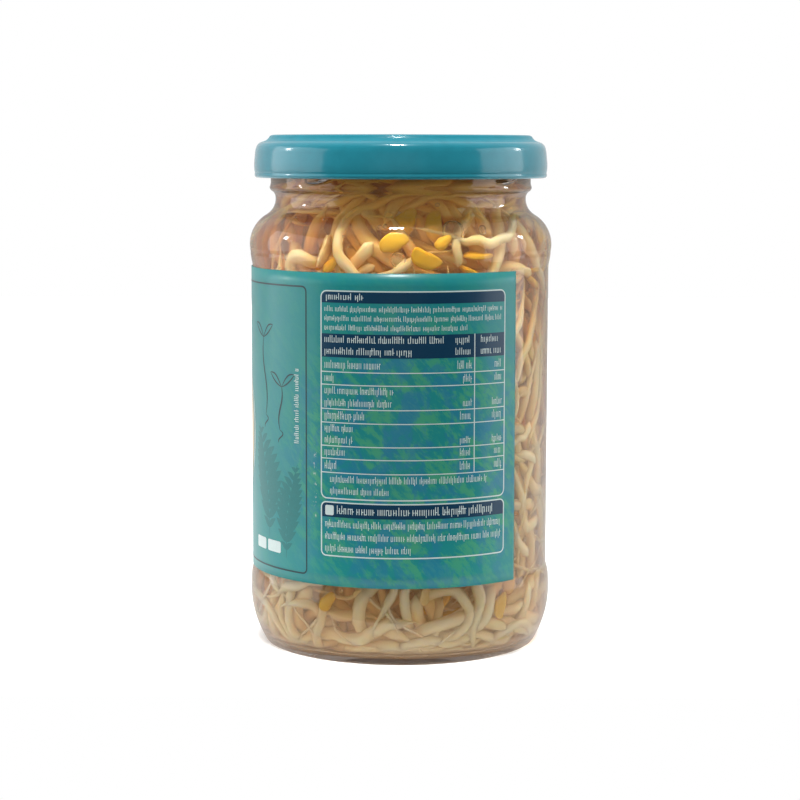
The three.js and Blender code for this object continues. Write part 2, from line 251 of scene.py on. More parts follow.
class Paint:
    """A material under construction, with short methods for the nodes that it needs."""

    def __init__(self, name):
        self.material = bpy.data.materials.new(name)
        self.material.use_nodes = True
        self.tree = self.material.node_tree
        self.shader = self.tree.nodes["Principled BSDF"]
        self.output = self.tree.nodes["Material Output"]
        self.face = self.shader.outputs[0]

    def node(self, kind, output=0, inputs=(), **fields):
        """Adds one node, sets its fields and inputs, and returns one of its outputs."""
        made = self.tree.nodes.new(kind)
        for key, value in fields.items():
            setattr(made, key, value)
        for key, value in dict(inputs).items():
            feed(self.tree, made.inputs[key], value)
        return Value(self.tree, made.outputs[output])

    def set(self, **inputs):
        """Sets inputs of the main shader: Base_Color means Base Color."""
        for key, value in inputs.items():
            feed(self.tree, self.shader.inputs[key.replace("_", " ")], value)

    def place(self):
        """The x, y and z of a point on the piece, in millimetres."""
        split = self.tree.nodes.new("ShaderNodeSeparateXYZ")
        feed(self.tree, split.inputs[0], self.node("ShaderNodeTexCoord", "Object"))
        return [Value(self.tree, out) * (1 / MM) for out in split.outputs]

    def vector(self, x, y=0.0, z=0.0):
        return self.node("ShaderNodeCombineXYZ", inputs={"X": x, "Y": y, "Z": z})

    def noise(self, vector, scale, detail=2.0, rough=0.5, twist=0.0):
        inputs = {
            "Vector": vector,
            "Scale": scale,
            "Detail": detail,
            "Roughness": rough,
            "Distortion": twist,
        }
        return self.node("ShaderNodeTexNoise", "Fac", inputs)

    def attribute(self, name):
        return self.node("ShaderNodeAttribute", "Fac", attribute_name=name)

    def mix(self, share, low, high):
        """A colour between two colours."""
        made = self.tree.nodes.new("ShaderNodeMix")
        made.data_type = "RGBA"
        feed(self.tree, made.inputs["Factor"], share)
        feed(self.tree, made.inputs[6], low)
        feed(self.tree, made.inputs[7], high)
        return Value(self.tree, made.outputs[2])

    def bump(self, height, strength, distance):
        inputs = {"Height": height, "Strength": strength, "Distance": distance * MM}
        self.set(Normal=self.node("ShaderNodeBump", "Normal", inputs))

    def let_light_pass(self, tint, share=1.0):
        """Lamps reach what is behind the surface, or a share of their light does."""
        ray = self.node("ShaderNodeLightPath", "Is Shadow Ray")
        if share < 1:
            ray = ray * share
        clear = self.node("ShaderNodeBsdfTransparent", "BSDF", {"Color": tint})
        mixed = self.node("ShaderNodeMixShader", "Shader", {0: ray, 1: self.face, 2: clear})
        feed(self.tree, self.output.inputs["Surface"], mixed)

    def veil(self, share, tint):
        """Covers a share of the surface with a diffuse film. It makes the brine cloudy, stands for
        what lies on the glass floor and paints shade at the glass's edges.
        """
        film = self.node("ShaderNodeBsdfDiffuse", "BSDF", {"Color": tint})
        self.face = self.node("ShaderNodeMixShader", "Shader", {0: share, 1: self.face, 2: film})

    def filled_with(self, tint, density):
        inputs = {"Color": tint, "Density": density}
        inside = self.node("ShaderNodeVolumeAbsorption", "Volume", inputs)
        feed(self.tree, self.output.inputs["Volume"], inside)


def round_at(r, turn, z):
    """A point at a radius, a turn in radians from -Y towards +X, and a height."""
    return (r * math.sin(turn), -r * math.cos(turn), z)


UP = np.array([0.0, 0.0, 1.0])


def directions(turn):
    """Outwards and sideways at a turn, both level."""
    return np.array(round_at(1, turn, 0)), np.array([math.cos(turn), math.sin(turn), 0])


def from_axis(x, y):
    """How far a point is from the jar's axis."""
    return (x * x + y * y) ** 0.5


def arc(centre, bend, start, end, steps):
    """Profile points on an arc round a centre, each (radius, height)."""
    turns = np.radians(np.linspace(start, end, steps + 1))
    return [(centre[0] + bend * math.cos(t), centre[1] + bend * math.sin(t)) for t in turns]


def eased(points, steps):
    """A smooth curve through profile points, with its first and last point kept."""
    path = np.array(points, float)
    ends = np.vstack([2 * path[0] - path[1], path, 2 * path[-1] - path[-2]])
    made = [path[0]]
    for i in range(1, len(ends) - 2):
        a, b, c, d = ends[i - 1 : i + 3]
        made += [spline(a, b, c, d, t) for t in np.linspace(0, 1, steps + 1)[1:]]
    return [tuple(p) for p in made]


def spline(a, b, c, d, t):
    """A smooth curve from b to c, with a before it and d after it."""
    bend = 2 * b + (c - a) * t + (2 * a - 5 * b + 4 * c - d) * t**2
    return (bend + (3 * b - a - 3 * c + d) * t**3) / 2


def between_rings(rings, turns, offset=0):
    """Faces between rings that have the same number of points, one ring after the other."""
    faces = []
    for first in range(offset, offset + (rings - 1) * turns, turns):
        for k in range(turns):
            n = (k + 1) % turns
            faces.append((first + k, first + n, first + turns + n, first + turns + k))
    return faces


def closed_rings(rings, turns, offset=0):
    """Faces between rings, and one face across each end."""
    last = offset + (rings - 1) * turns
    foot = tuple(offset + k for k in reversed(range(turns)))
    return [*between_rings(rings, turns, offset), foot, tuple(last + k for k in range(turns))]


def new_piece(name, points, faces, material, attributes=()):
    """A smooth mesh object from points in millimetres."""
    mesh = bpy.data.meshes.new(name)
    mesh.from_pydata((np.asarray(points) * MM).tolist(), [], [tuple(f) for f in faces])
    for key, values in dict(attributes).items():
        layer = mesh.attributes.new(key, "FLOAT", "POINT")
        layer.data.foreach_set("value", np.asarray(values, np.float32))
    mesh.materials.append(material)
    mesh.shade_smooth()
    piece = bpy.data.objects.new(name, mesh)
    bpy.context.scene.collection.objects.link(piece)
    return piece


def spun(profile, segments, swell=None):
    """A profile turned about Z. swell(turns, radii, heights) adds to its radius."""
    line = np.array(profile, float)
    turns = np.arange(segments) * TAU / segments
    r, z = line[:, :1], line[:, 1:]
    radii = np.repeat(r, segments, axis=1)
    if swell is not None:
        radii = radii + swell(turns[None, :], r, z)
    points = np.stack(
        [radii * np.sin(turns), -radii * np.cos(turns), np.broadcast_to(z, radii.shape)], axis=-1
    ).reshape(-1, 3)
    return points, between_rings(len(line), segments)


WELD = 1e-4 * MM  # points nearer than this are one point


def welded(piece):
    """Joins points that coincide, as at the axis, and turns the faces outwards."""
    made = bmesh.new()
    made.from_mesh(piece.data)
    bmesh.ops.remove_doubles(made, verts=made.verts, dist=WELD)
    bmesh.ops.dissolve_degenerate(made, edges=made.edges, dist=WELD)
    bmesh.ops.recalc_face_normals(made, faces=made.faces)
    made.to_mesh(piece.data)
    made.free()
    piece.data.shade_smooth()
    return piece


def dress(piece, body, slot, *nodes):
    """Puts a piece on its body and hides the solids that it stands for. slot is not used."""
    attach(piece, body)
    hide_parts(*nodes)
    return piece


# Shape of the glass. These follow the solid jar.
SHOULDER_BEND = 8.05
SHOULDER_Z = 94.9
SHOULDER_TURN = 60
NECK_BEND = 4.3
NECK_Z = 105.6
HEEL_BEND = 24
HEEL_Z = 12.8
FLOOR_Z = 2.0
FLOOR_DOME = 3.2
FLOOR_STEPS = 8
INNER_HEEL_BEND = 6.5
WET_FLOOR_R = 26  # brine lies on the floor within this radius

# Screw ridges and the lugs that run under them
STARTS = 4
BEFORE_LUG = 30  # degrees from the lower end of a ridge to its lug
RIDGE_Z = 113.1  # middle of a ridge over its lug
STOP_Z = 110.3  # lower end of a ridge, which stops the lug
RIDGE_TALL = 1.45
RIDGE_HALF = 1.25
LUG_REACH = 31.35
LUG_HALF = 8  # degrees


def floor_at(r, floor_r):
    """Height of the glass floor, which rises to the middle."""
    return FLOOR_Z + FLOOR_DOME * np.cos(np.minimum(1, r / floor_r) * math.pi / 2) ** 2


def glass_inside(jar, inset, top_z):
    """The wall inside the glass, moved in by inset, from the middle of the floor upwards."""
    inside = jar.inside_r / MM
    floor_r = inside - INNER_HEEL_BEND
    shoulder = (jar.bead_r / MM - SHOULDER_BEND, SHOULDER_Z)
    bend = inside - shoulder[0]
    neck = (jar.neck_r / MM + NECK_BEND, NECK_Z)
    deep = SHOULDER_BEND - bend
    floor_radii = np.linspace(0, floor_r, FLOOR_STEPS + 1)[:-1]
    return [
        *[(r, floor_at(r, floor_r) + inset) for r in floor_radii],
        *arc((floor_r, FLOOR_Z + INNER_HEEL_BEND), INNER_HEEL_BEND - inset, -90, 0, 16),
        *[(inside - inset, z) for z in np.linspace(20, 90, 8)],
        *arc(shoulder, bend - inset, 0, SHOULDER_TURN, 10),
        *arc(neck, NECK_BEND + deep + inset, 180 + SHOULDER_TURN, 180, 12)[1:],
        (neck[0] - NECK_BEND - deep - inset, top_z),
    ]


def glass_outside(jar):
    """The outer wall from the middle of the hollow under the base up to the mouth."""
    heel = jar.heel_r / MM
    panel = jar.panel_r / MM
    finish = jar.finish_r / MM
    rim = jar.rim_z / MM
    shoulder = (jar.bead_r / MM - SHOULDER_BEND, SHOULDER_Z)
    neck = (jar.neck_r / MM + NECK_BEND, NECK_Z)
    hollow_base = [(0, 3.0), (8, 2.6), (16, 1.75), (24, 0.55), (28, 0.1)]
    low_edge = [(35.2, 18.6), (panel, 19.6)]
    return [
        *eased([*hollow_base, (29.4, 0), (31, 0), (31.8, 0.06)], 3),
        *arc((heel - HEEL_BEND, HEEL_Z), HEEL_BEND, -31.4, 2, 22),
        *eased([(heel - 0.02, 14.3), (35.75, 16.3), (35.45, 17.7), *low_edge], 3),
        *[(panel, z) for z in np.linspace(24, 86, 6)],
        *eased([(panel, 89.2), (35.2, 90.2), (35.42, 91.3), (35.62, 92.6)], 3),
        *arc(shoulder, SHOULDER_BEND, -12, SHOULDER_TURN, 20),
        *arc(neck, NECK_BEND, 180 + SHOULDER_TURN, 175, 14)[1:],
        *eased([(29.72, 106.4), (30.1, 107.1), (30.75, 107.6), (31.05, 108.2), (30.9, 108.8)], 3),
        *[(finish, z) for z in np.linspace(109.2, rim - 1.0, 30)],
        *arc((finish - 1.0, rim - 1.0), 1.0, 10, 90, 6),
        *arc((28.7, rim - 1.0), 1.0, 90, 180, 6),
    ]


def screw_ridges(jar):
    """How far the screw ridges stand out of the finish, as a swell of the spun glass."""
    lead = jar.lead / MM
    finish = jar.finish_r / MM

    def swell(turns, r, z):
        from_end = np.degrees(turns - jar.first_lug) + BEFORE_LUG
        from_lug = np.mod(from_end, 360 / STARTS) - BEFORE_LUG
        thread = RIDGE_Z + lead * from_lug / 360
        dip = STOP_Z + 1.1 * smoothstep(from_lug, -19, -9)
        middle = dip + (thread - dip) * smoothstep(from_lug, -14, -5)
        tall = RIDGE_TALL * smoothstep(from_lug, -26, -20) * smoothstep(from_lug, 46, 36)
        side = 1 - np.abs(z - middle) / RIDGE_HALF
        ridge = tall * smoothstep(side, 0, 0.62)
        return np.where((z > 108.9) & (r > finish - 0.01), ridge, 0)

    return swell


def smoothstep(value, low, high):
    share = np.clip((value - low) / (high - low), 0, 1)
    return share * share * (3 - 2 * share)


def glass_paint(name, shine):
    """Clear glass, with painted shade where it is seen edge-on. shine scales its reflection, which
    is slight where brine lies against it.
    """
    paint = Paint(name)
    x, y, z = paint.place()
    heights = paint.noise(paint.vector(x, y, z * 0.35), 0.12, 1.0)
    paint.set(
        Base_Color=(0.985, 0.997, 0.99),
        Roughness=0.0,
        IOR=1.5,
        Transmission_Weight=1.0,
        Specular_Tint=(shine, shine, shine),
    )
    paint.bump(heights, 0.06, 1.0)
    # Painted shade: a grey-brown film where the glass is seen edge-on, which darkens its edges.
    rim = paint.node("ShaderNodeLayerWeight", "Facing", {"Blend": 0.5}).smooth(0.5, 0.86)
    paint.veil(rim * 0.5, (0.36, 0.31, 0.27))
    if shine < 1:
        on_floor = from_axis(x, y).smooth(29.5, 28) * z.smooth(7, 6)
        paint.veil(on_floor * 0.85, (0.48, 0.29, 0.12))
    paint.let_light_pass((0.97, 0.975, 0.97))
    return paint.material


class JAR_OT_glass(bpy.types.Operator):
    """Add the blown glass jar with its screw ridges"""

    bl_idname = "jar.glass"
    bl_label = "Glass jar"

    def execute(self, context):
        jar = context.scene.jar
        inside = glass_inside(jar, 0, jar.rim_z / MM - 1.0)
        profile = [*glass_outside(jar), *inside[::-1]]
        points, faces = spun(profile, jar.segments, screw_ridges(jar))
        piece = welded(new_piece("glass_jar", points, faces, glass_paint("glass", 1.0)))
        piece.data.materials.append(glass_paint("glass_by_brine", 0.07))
        level = context.scene.jar_brine.top_z
        for face in piece.data.polygons:
            out = math.hypot(face.center.x, face.center.y) / MM
            inward = face.center.x * face.normal.x + face.center.y * face.normal.y < 0
            wet = FLOOR_Z * MM * 0.9 < face.center.z < level and face.normal.z > -0.5
            if wet and (inward or out < WET_FLOOR_R):
                face.material_index = 1
        dress(piece, "jar", "glass", "jar")
        return {"FINISHED"}


# Lid, as radius and depth below its top, or height above its lower edge
LID_TOP = (
    *((0, 0.4), (4, 0.42), (7.2, 0.62), (9.2, 0.98), (12, 1.04), (24.6, 1.04), (26, 0.9)),
    *((27.1, 0.3), (28.1, 0.02), (29.2, 0), (30.2, 0.02), (30.9, 0.25), (31.3, 0.8)),
    *((31.9, 1.3), (32.8, 1.62), (33.5, 1.95), (34.05, 2.6), (34.35, 3.5), (34.5, 4.6)),
)
LID_CURL = (
    *((34.6, 1.5), (34.52, 1.1), (34.6, 0.65), (34.45, 0.22), (34.1, 0), (33.7, 0.02)),
    *((33.35, 0.3), (33.3, 0.75), (33.55, 1.1), (33.95, 1.25)),
)
LID_UNDER = (
    *((34.1, 4.6), (33.9, 3.6), (33.5, 2.85), (32.9, 2.3), (32, 1.95), (31.2, 1.4)),
    *((30.7, 0.7), (30.1, 0.4), (28.1, 0.4), (27.3, 0.65), (26.3, 1.25), (24.8, 1.42)),
    *((9.2, 1.38), (7, 1.02), (0, 0.8)),
)


def lid_profile(lid):
    """The sheet of the lid, from the middle of its underside outwards, round the curl and back."""
    radius = lid.radius / MM
    top = lid.top_z / MM
    low = lid.low_z / MM
    sheet = 0.4
    outside = [(r, top - down) for r, down in LID_TOP]
    outside += [(radius, top - 6.6), (radius, low + 2.2)]
    outside += [(r, low + up) for r, up in LID_CURL]
    inside = [(34.2, low + 1.9), (radius - sheet, low + 2.6), (radius - sheet, top - 6.6)]
    inside += [(r, top - down) for r, down in LID_UNDER]
    return [*eased(outside, 4), *eased(inside, 2)]


def lug_faces(centre, offset):
    """A lug: the curl's edge folded in towards the glass, as a rounded tongue."""
    shares = np.linspace(-1, 1, 17)
    points = []
    for share in shares:
        turn = centre + math.radians(LUG_HALF * share)
        reach = LUG_REACH + 2.2 * abs(share) ** 4
        section = [
            (33.9, 110.75),
            (33.2, 110.72),
            (reach + 0.3, 110.8),
            (reach, 111.15),
            (reach + 0.2, 111.7),
            (33.2, 111.9),
            (33.9, 111.95),
        ]
        points += [round_at(r, turn, z) for r, z in section]
    return points, closed_rings(len(shares), len(section), offset)


def lacquer_paint(lid):
    paint = Paint("lid_lacquer")
    x, y, z = paint.place()
    mottle = paint.noise(paint.vector(x, y, z), 0.35, 3.0)
    peel = paint.noise(paint.vector(x, y, z), 2.4, 2.0)
    base = tuple(lid.lacquer)
    deep = tuple(c * 0.94 for c in base)
    outside = paint.mix(mottle.smooth(0.35, 0.7), base, deep)
    inner = (from_axis(x, y) < lid.radius / MM - 0.33) * (z < 116.8) * (z > 111.3)
    paint.set(
        Base_Color=paint.mix(inner, outside, (0.74, 0.67, 0.52)),
        Roughness=0.34 + mottle * 0.06,
        Specular_IOR_Level=0.1,
        Coat_Weight=(z < 118.9) * 0.65 + 0.25,
        Coat_Roughness=0.13,
        Coat_IOR=1.5,
    )
    paint.bump(peel, 0.05, 0.2)
    return paint.material


def seal_paint():
    paint = Paint("seal_compound")
    x, y, z = paint.place()
    grain = paint.noise(paint.vector(x, y, z), 1.5, 3.0)
    paint.set(Base_Color=paint.mix(grain, (0.66, 0.62, 0.52), (0.74, 0.7, 0.6)), Roughness=0.6)
    paint.bump(grain, 0.2, 0.1)
    return paint.material


class JAR_OT_lid(bpy.types.Operator):
    """Add the pressed lid with its curl and lugs, and the seal inside it"""

    bl_idname = "jar.lid"
    bl_label = "Lid and seal"

    def execute(self, context):
        lid = context.scene.jar_lid
        jar = context.scene.jar
        points, faces = spun(lid_profile(lid), lid.segments)
        paint = lacquer_paint(lid)
        piece = welded(new_piece("lid_shell", points, faces, paint))
        dress(piece, "lid", "lid", "lid")
        lug_points, lug_sides = [], []
        for start in range(STARTS):
            more, sides = lug_faces(jar.first_lug + start * TAU / STARTS, len(lug_points))
            lug_points += more
            lug_sides += sides
        lugs = welded(new_piece("lid_lugs", lug_points, lug_sides, paint))
        dress(lugs, "lid", "lid", "lid")
        low = jar.rim_z / MM + 0.2
        high = lid.top_z / MM - 0.6
        middle = (low + high) / 2
        ring = [(27.9, low), (29, low - 0.05), (30.2, low), (30.55, middle), (30.3, high)]
        points, faces = spun([*ring, (27.9, high), ring[0]], lid.segments)
        seal = welded(new_piece("seal_ring", points, faces, seal_paint()))
        dress(seal, "seal", "seal", "lid_seal")
        return {"FINISHED"}


PRINT_STEP = 0.8  # longest straight run round the label


class Ink:
    """Flat printed shapes that lie on the label. u runs round the jar, v upwards, in mm."""

    def __init__(self, radius):
        self.radius = radius
        self.points = []
        self.faces = []

    def patch(self, rows):
        """A skin over rows of (u, v) points, all of the same length, the lower row first."""
        first = len(self.points)
        wide = len(rows[0])
        for row in rows:
            self.points += [round_at(self.radius, u / self.radius, v) for u, v in row]
        for i in range(len(rows) - 1):
            for k in range(wide - 1):
                a = first + i * wide + k
                self.faces.append((a, a + 1, a + wide + 1, a + wide))

    def bar(self, left, low, right, high):
        columns = np.linspace(left, right, max(2, round((right - left) / PRINT_STEP) + 1))
        self.patch([[(u, low) for u in columns], [(u, high) for u in columns]])

    def rounded_bar(self, left, low, right, high, corner, foot=True):
        """A bar with rounded upper corners, and rounded lower ones where foot is set."""
        steps = max(2, round((right - left) / PRINT_STEP))
        columns = list(np.linspace(left + corner, right - corner, steps))
        swing = [corner * (1 - math.cos(t)) for t in np.linspace(0, math.pi / 2, 7)[:-1]]
        columns = [left + c for c in swing] + columns + [right - c for c in reversed(swing)]
        rows = [[], []]
        for u in columns:
            near = min(u - left, right - u, corner)
            cut = corner - math.sqrt(max(0, corner**2 - (corner - near) ** 2))
            rows[0].append((u, low + (cut if foot else 0)))
            rows[1].append((u, high - cut))
        self.patch(rows)

    def stroke(self, path, wide, closed=False, taper=False):
        """A line of even width, or one that runs out to thin ends."""
        path = np.array(path, float)
        ahead = np.roll(path, -1, axis=0)
        behind = np.roll(path, 1, axis=0)
        if not closed:
            ahead[-1], behind[0] = path[-1], path[0]
        along = ahead - behind
        along /= np.maximum(np.linalg.norm(along, axis=1), 1e-9)[:, None]
        side = np.stack([along[:, 1], -along[:, 0]], axis=1)
        half = np.full(len(path), wide / 2)
        if taper:
            half = half * np.sin(np.linspace(0.12, math.pi - 0.12, len(path))) ** 0.6
        left = path - side * half[:, None]
        right = path + side * half[:, None]
        if closed:
            left = np.vstack([left, left[:1]])
            right = np.vstack([right, right[:1]])
        self.patch([left.tolist(), right.tolist()])

    def frame(self, left, low, right, high, corner, wide):
        path = []
        for cu, cv, start in (
            (right - corner, high - corner, 0),
            (left + corner, high - corner, 90),
            (left + corner, low + corner, 180),
            (right - corner, low + corner, 270),
        ):
            path += arc((cu, cv), corner, start, start + 90, 6)
        full = []
        for a, b in zip(path, path[1:] + path[:1]):
            steps = max(1, round(abs(b[0] - a[0]) / PRINT_STEP))
            full += [tuple(np.add(a, np.subtract(b, a) * k / steps)) for k in range(steps)]
        self.stroke(full, wide, closed=True)

    def disc(self, centre, radius):
        """A filled round, in bands so that it bends with the label."""
        rows = []
        for lift in np.linspace(-90, 90, 61):
            half = radius * math.cos(math.radians(lift)) + 1e-3
            v = centre[1] + radius * math.sin(math.radians(lift))
            rows.append([(centre[0] + half * t, v) for t in np.linspace(-1, 1, 41)])
        self.patch(rows)

    def leaf(self, foot, tip, wide, bend=0.0):
        """A filled pointed leaf from its foot to its tip."""
        foot, tip = np.array(foot), np.array(tip)
        along = tip - foot
        side = np.array([-along[1], along[0]]) / np.linalg.norm(along)
        rows = [[], [], []]
        for t in np.linspace(0, 1, 12):
            middle = foot + along * t + side * bend * math.sin(math.pi * t)
            half = wide * math.sin(math.pi * t**0.8) ** 0.9 + 0.01
            for row, way in zip(rows, (-1, 0, 1)):
                row.append(tuple(middle + side * half * way))
        self.patch(rows)

    def words(self, left, low, right, high, lines, random, letter, upright=False, full=False):
        """Rows of thin upright strokes with the rhythm of small print."""
        pitch = (high - low) / lines
        for n in range(lines):
            base = high - pitch * (n + 0.74)
            tall = pitch * 0.42
            at = left
            last = n == lines - 1 and lines > 1 and not full
            limit = left + (right - left) * (random.uniform(0.35, 0.8) if last else 1)
            while at < limit - letter:
                for _ in range(random.integers(5, 19)):
                    if at > limit - letter * 0.5:
                        break
                    kind = random.random()
                    up = base + tall * (1.42 if kind > 0.72 else 1)
                    down = base - (tall * 0.35 if kind < 0.1 else 0)
                    self.mark(at, down, at + letter * 0.2, up, upright)
                    if random.random() < 0.42:
                        level = base + tall * random.choice([0.0, 0.42, 0.84])
                        self.mark(at, level, at + letter * 0.5, level + tall * 0.14, upright)
                    at += letter * random.uniform(0.46, 0.66)
                at += letter * 0.62

    def mark(self, left, low, right, high, upright):
        if upright:
            self.patch([[(-high, left), (-high, right)], [(-low, left), (-low, right)]])
        else:
            self.patch([[(left, low), (right, low)], [(left, high), (right, high)]])

    def piece(self, name, lift, material):
        points = np.array(self.points)
        points[:, :2] *= 1 + lift / self.radius
        printed = new_piece(name, points, self.faces, material)
        return dress(printed, "jar", "label", "label")


# The label's table (left, low, right, high), the heights of its rules, the widths of its
# entries, the line between its columns, and the note below it
TABLE = (-18.7, 38.7, 25.9, 85.7)
RULES = (67.5, 64.6, 59.1, 56.0, 50.7, 47.8, 44.6)
ENTRIES = (13.5, 3.4, 16.5, 9.8, 7.2, 5.4, 3.6)
COLUMN = 17.4
NOTE = (-18.7, 25.5, 25.9, 37.8)


def print_table(pale, dark, random):
    """The table with its ruled rows, and the note below it."""
    left, low, right, high = TABLE
    pale.frame(left, low, right, high, 1.4, 0.3)
    dark.rounded_bar(left + 0.1, 83.05, right - 0.1, high - 0.1, 1.3, foot=False)
    dark.bar(left + 0.1, 70.8, right - 0.1, 76.1)
    for height in RULES:
        pale.bar(left, height - 0.11, right, height + 0.11)
    pale.bar(COLUMN - 0.12, RULES[-1], COLUMN + 0.12, 76.1)
    pale.words(left + 1.3, 83.1, left + 10.5, 85.6, 1, random, 0.95)
    pale.words(left + 0.9, 76.4, right - 0.7, 82.7, 3, random, 0.66)
    pale.words(left + 0.9, 70.8, 10.5, 76.1, 2, random, 0.85)
    pale.words(12.6, 70.8, 16.6, 76.1, 2, random, 0.8, full=True)
    pale.words(19.0, 70.8, 25.2, 76.1, 2, random, 0.8, full=True)
    for wide, top, bottom in zip(ENTRIES, (70.6, *RULES[:-1]), RULES):
        lines = 2 if top - bottom > 4 else 1
        pale.words(left + 0.9, bottom, left + 0.9 + wide, top, lines, random, 0.68, full=True)
        middle = bottom + (top - bottom) / lines
        pale.words(16.6 - random.choice([2.1, 2.8, 3.5]), bottom, 16.8, middle, 1, random, 0.68)
        pale.words(25.0 - random.choice([2.1, 2.8]), bottom, 25.2, middle, 1, random, 0.68)
    pale.words(left + 2.3, 39.1, 21.0, 44.4, 2, random, 0.68)
    left, low, right, high = NOTE
    pale.frame(left, low, right, high, 1.2, 0.3)
    dark.rounded_bar(left + 0.1, 34.4, right - 0.1, high - 0.1, 1.1, foot=False)
    pale.rounded_bar(left + 1.0, 34.8, left + 3.2, 37.1, 0.4)
    pale.words(left + 4.0, 34.4, right - 1.6, 37.6, 1, random, 0.92)
    pale.words(left + 1.0, 25.8, right - 0.9, 34.2, 3, random, 0.68)


def draw_sprout(lines, foot, tall, sway):
    """A line drawing of a sprout: a swaying stem with two leaves, and a curled root."""
    stem = []
    for t in np.linspace(0, 1, 30):
        stem.append((foot[0] + sway * math.sin(5.2 * t + 0.4), foot[1] + tall * t))
    lines.stroke(stem, 0.5, taper=True)
    tip = np.array(stem[-1])
    for way in (-1, 1):
        for bulge in (1.15, -0.5):
            edge = []
            for t in np.linspace(0, 1, 18):
                reach = np.array([way * 4.6 * t, 3.1 * t + bulge * math.sin(math.pi * t)])
                edge.append(tuple(tip + reach))
            lines.stroke(edge, 0.36, taper=True)
    curl = [
        (foot[0] + sway * 0.4 + 1.5 * math.sin(t) * (1 - t / 7), foot[1] - 1.2 * t / 2)
        for t in np.linspace(0, 5, 20)
    ]
    lines.stroke(curl, 0.34, taper=True)


def draw_frond(leaves, foot, tall, lean, wide):
    """A spray of pointed leaflets on a bowed stalk."""
    bow = math.radians(lean)
    stalk = []
    for t in np.linspace(0, 1, 25):
        stalk.append((foot[0] + tall * t * math.sin(bow * t), foot[1] + tall * t))
    leaves.stroke(stalk, 0.5, taper=True)
    for n in range(2, 23, 2):
        at = stalk[n]
        reach = wide * math.sin(math.pi * (n / 25) ** 0.75)
        for way in (-1, 1):
            tip = (at[0] + way * reach, at[1] + reach * 0.85)
            leaves.leaf(at, tip, reach * 0.2 + 0.15, way * 0.3)


def print_front(pale, lines, cream, leaves, random):
    """The front of the label, on the left in the camera's view, and the side behind the jar."""
    lines.frame(-106.0, 20.6, -22.9, 86.4, 1.2, 0.38)
    for foot, tall, sway in (
        ((-38.5, 56.0), 18.0, 1.1),
        ((-31.5, 53.0), 10.0, -0.7),
        ((-70.0, 40.0), 20.0, 1.8),
        ((-62.5, 38.0), 17.0, -1.6),
        ((-77.0, 44.5), 12.0, 1.2),
        ((-55.5, 45.0), 11.0, -1.2),
    ):
        draw_sprout(lines, foot, tall, sway)
    draw_frond(leaves, (-36.5, 27.5), 26.0, -12, 6.2)
    draw_frond(leaves, (-29.5, 23.5), 22.0, 10, 4.6)
    draw_frond(leaves, (-97.0, 25.0), 30.0, 12, 6.5)
    draw_frond(leaves, (-88.0, 60.0), 20.0, -14, 5.0)
    cream.disc((-66.0, 51.0), 18.6)
    ring = arc((-66.0, 51.0), 19.9, 0, 360, 96)[:-1]
    pale.stroke(ring, 0.5, closed=True)
    pale.rounded_bar(-82.0, 76.5, -50.0, 82.0, 2.0)
    pale.rounded_bar(-74.5, 73.6, -57.5, 74.8, 0.5)
    pale.rounded_bar(-43.6, 24.2, -38.2, 26.9, 0.5)
    pale.rounded_bar(-37.3, 24.2, -31.6, 26.9, 0.5)
    pale.words(50.5, 24.6, 68.0, 27.0, 1, random, 0.8, upright=True)
    lines.frame(-150.0, 24.0, -111.0, 84.0, 1.6, 0.24)
    pale.words(-148.0, 60.0, -113.0, 82.0, 8, random, 0.8)
    pale.words(-148.0, 27.0, -128.0, 41.0, 5, random, 0.8)
    left = -126.0
    while left < -114.0:
        wide = random.choice([0.3, 0.45, 0.75])
        pale.bar(left, 27.0, left + wide, 42.0)
        left += wide + random.choice([0.3, 0.5])


def ink_paint(name, tone, share=0.25):
    """Flat printing ink, with the grain of the paper below it."""
    paint = Paint(name)
    x, y, z = paint.place()
    grain = paint.noise(paint.vector(x, y, z), 2.6, 2.0, 0.6)
    faded = tuple(c * (1 - share) for c in tone)
    paint.set(
        Base_Color=paint.mix(grain, tone, faded),
        Roughness=0.42 + grain * 0.05,
        Specular_IOR_Level=0.3,
        Coat_Weight=0.35,
        Coat_Roughness=0.22,
    )
    return paint.material


def label_paint(label):
    paint = Paint("label_paper")
    x, y, z = paint.place()
    turn = x.math("ARCTAN2", -y)
    u = (turn - (turn > 1.4) * TAU) * (label.radius / MM)
    on_paper = paint.vector(u, z)
    streaks = paint.noise(paint.vector(u + z * 0.9, z * 0.4 - u * 0.3), 0.3, 6.0, 0.72, 0.3)
    patches = paint.noise(paint.vector(u * 1.1, z * 0.8), 0.17, 5.0, 0.68, 0.5)
    weave = paint.noise(on_paper, 3.2, 2.0, 0.6)
    around = ((u - 4) ** 2 * 0.0008 + (z - 46) ** 2 * 0.0007).smooth(1.2, 0.2)
    ground = tuple(label.ground)
    green_share = streaks.smooth(0.44, 0.58) * (around * 0.8 + 0.12)
    blue_share = patches.smooth(0.46, 0.58) * (around * 0.6 + 0.08)
    tone = paint.mix(green_share, ground, tuple(label.green))
    tone = paint.mix(blue_share, tone, tuple(label.blue))
    tone = paint.mix(weave * 0.2, tone, tuple(c * 0.6 for c in ground))
    scuffs = paint.noise(paint.vector(u * 1.2, z * 0.7), 0.9, 3.0, 0.7)
    fold = (u + 20.5).size().smooth(1.8, 0.2) * (z - 42).size().smooth(20, 6)
    edge = (z - label.high_z / MM).size().smooth(0.5, 0.1).most((u - 29.6).size().smooth(0.5, 0.1))
    worn = (scuffs * (fold * 0.62 + edge * 0.5)).smooth(0.33, 0.42)
    paint.set(
        Base_Color=paint.mix(worn * 0.75, tone, (0.72, 0.78, 0.76)),
        Roughness=0.4 + worn * 0.2 + weave * 0.05,
        Specular_IOR_Level=0.3,
        Coat_Weight=0.35,
        Coat_Roughness=0.22,
    )
    creases = paint.noise(paint.vector(u * 0.25, z * 1.4), 0.5, 3.0, 0.6)
    paint.bump(creases * 0.8 + weave * 0.12, 0.16, 0.25)
    return paint.material


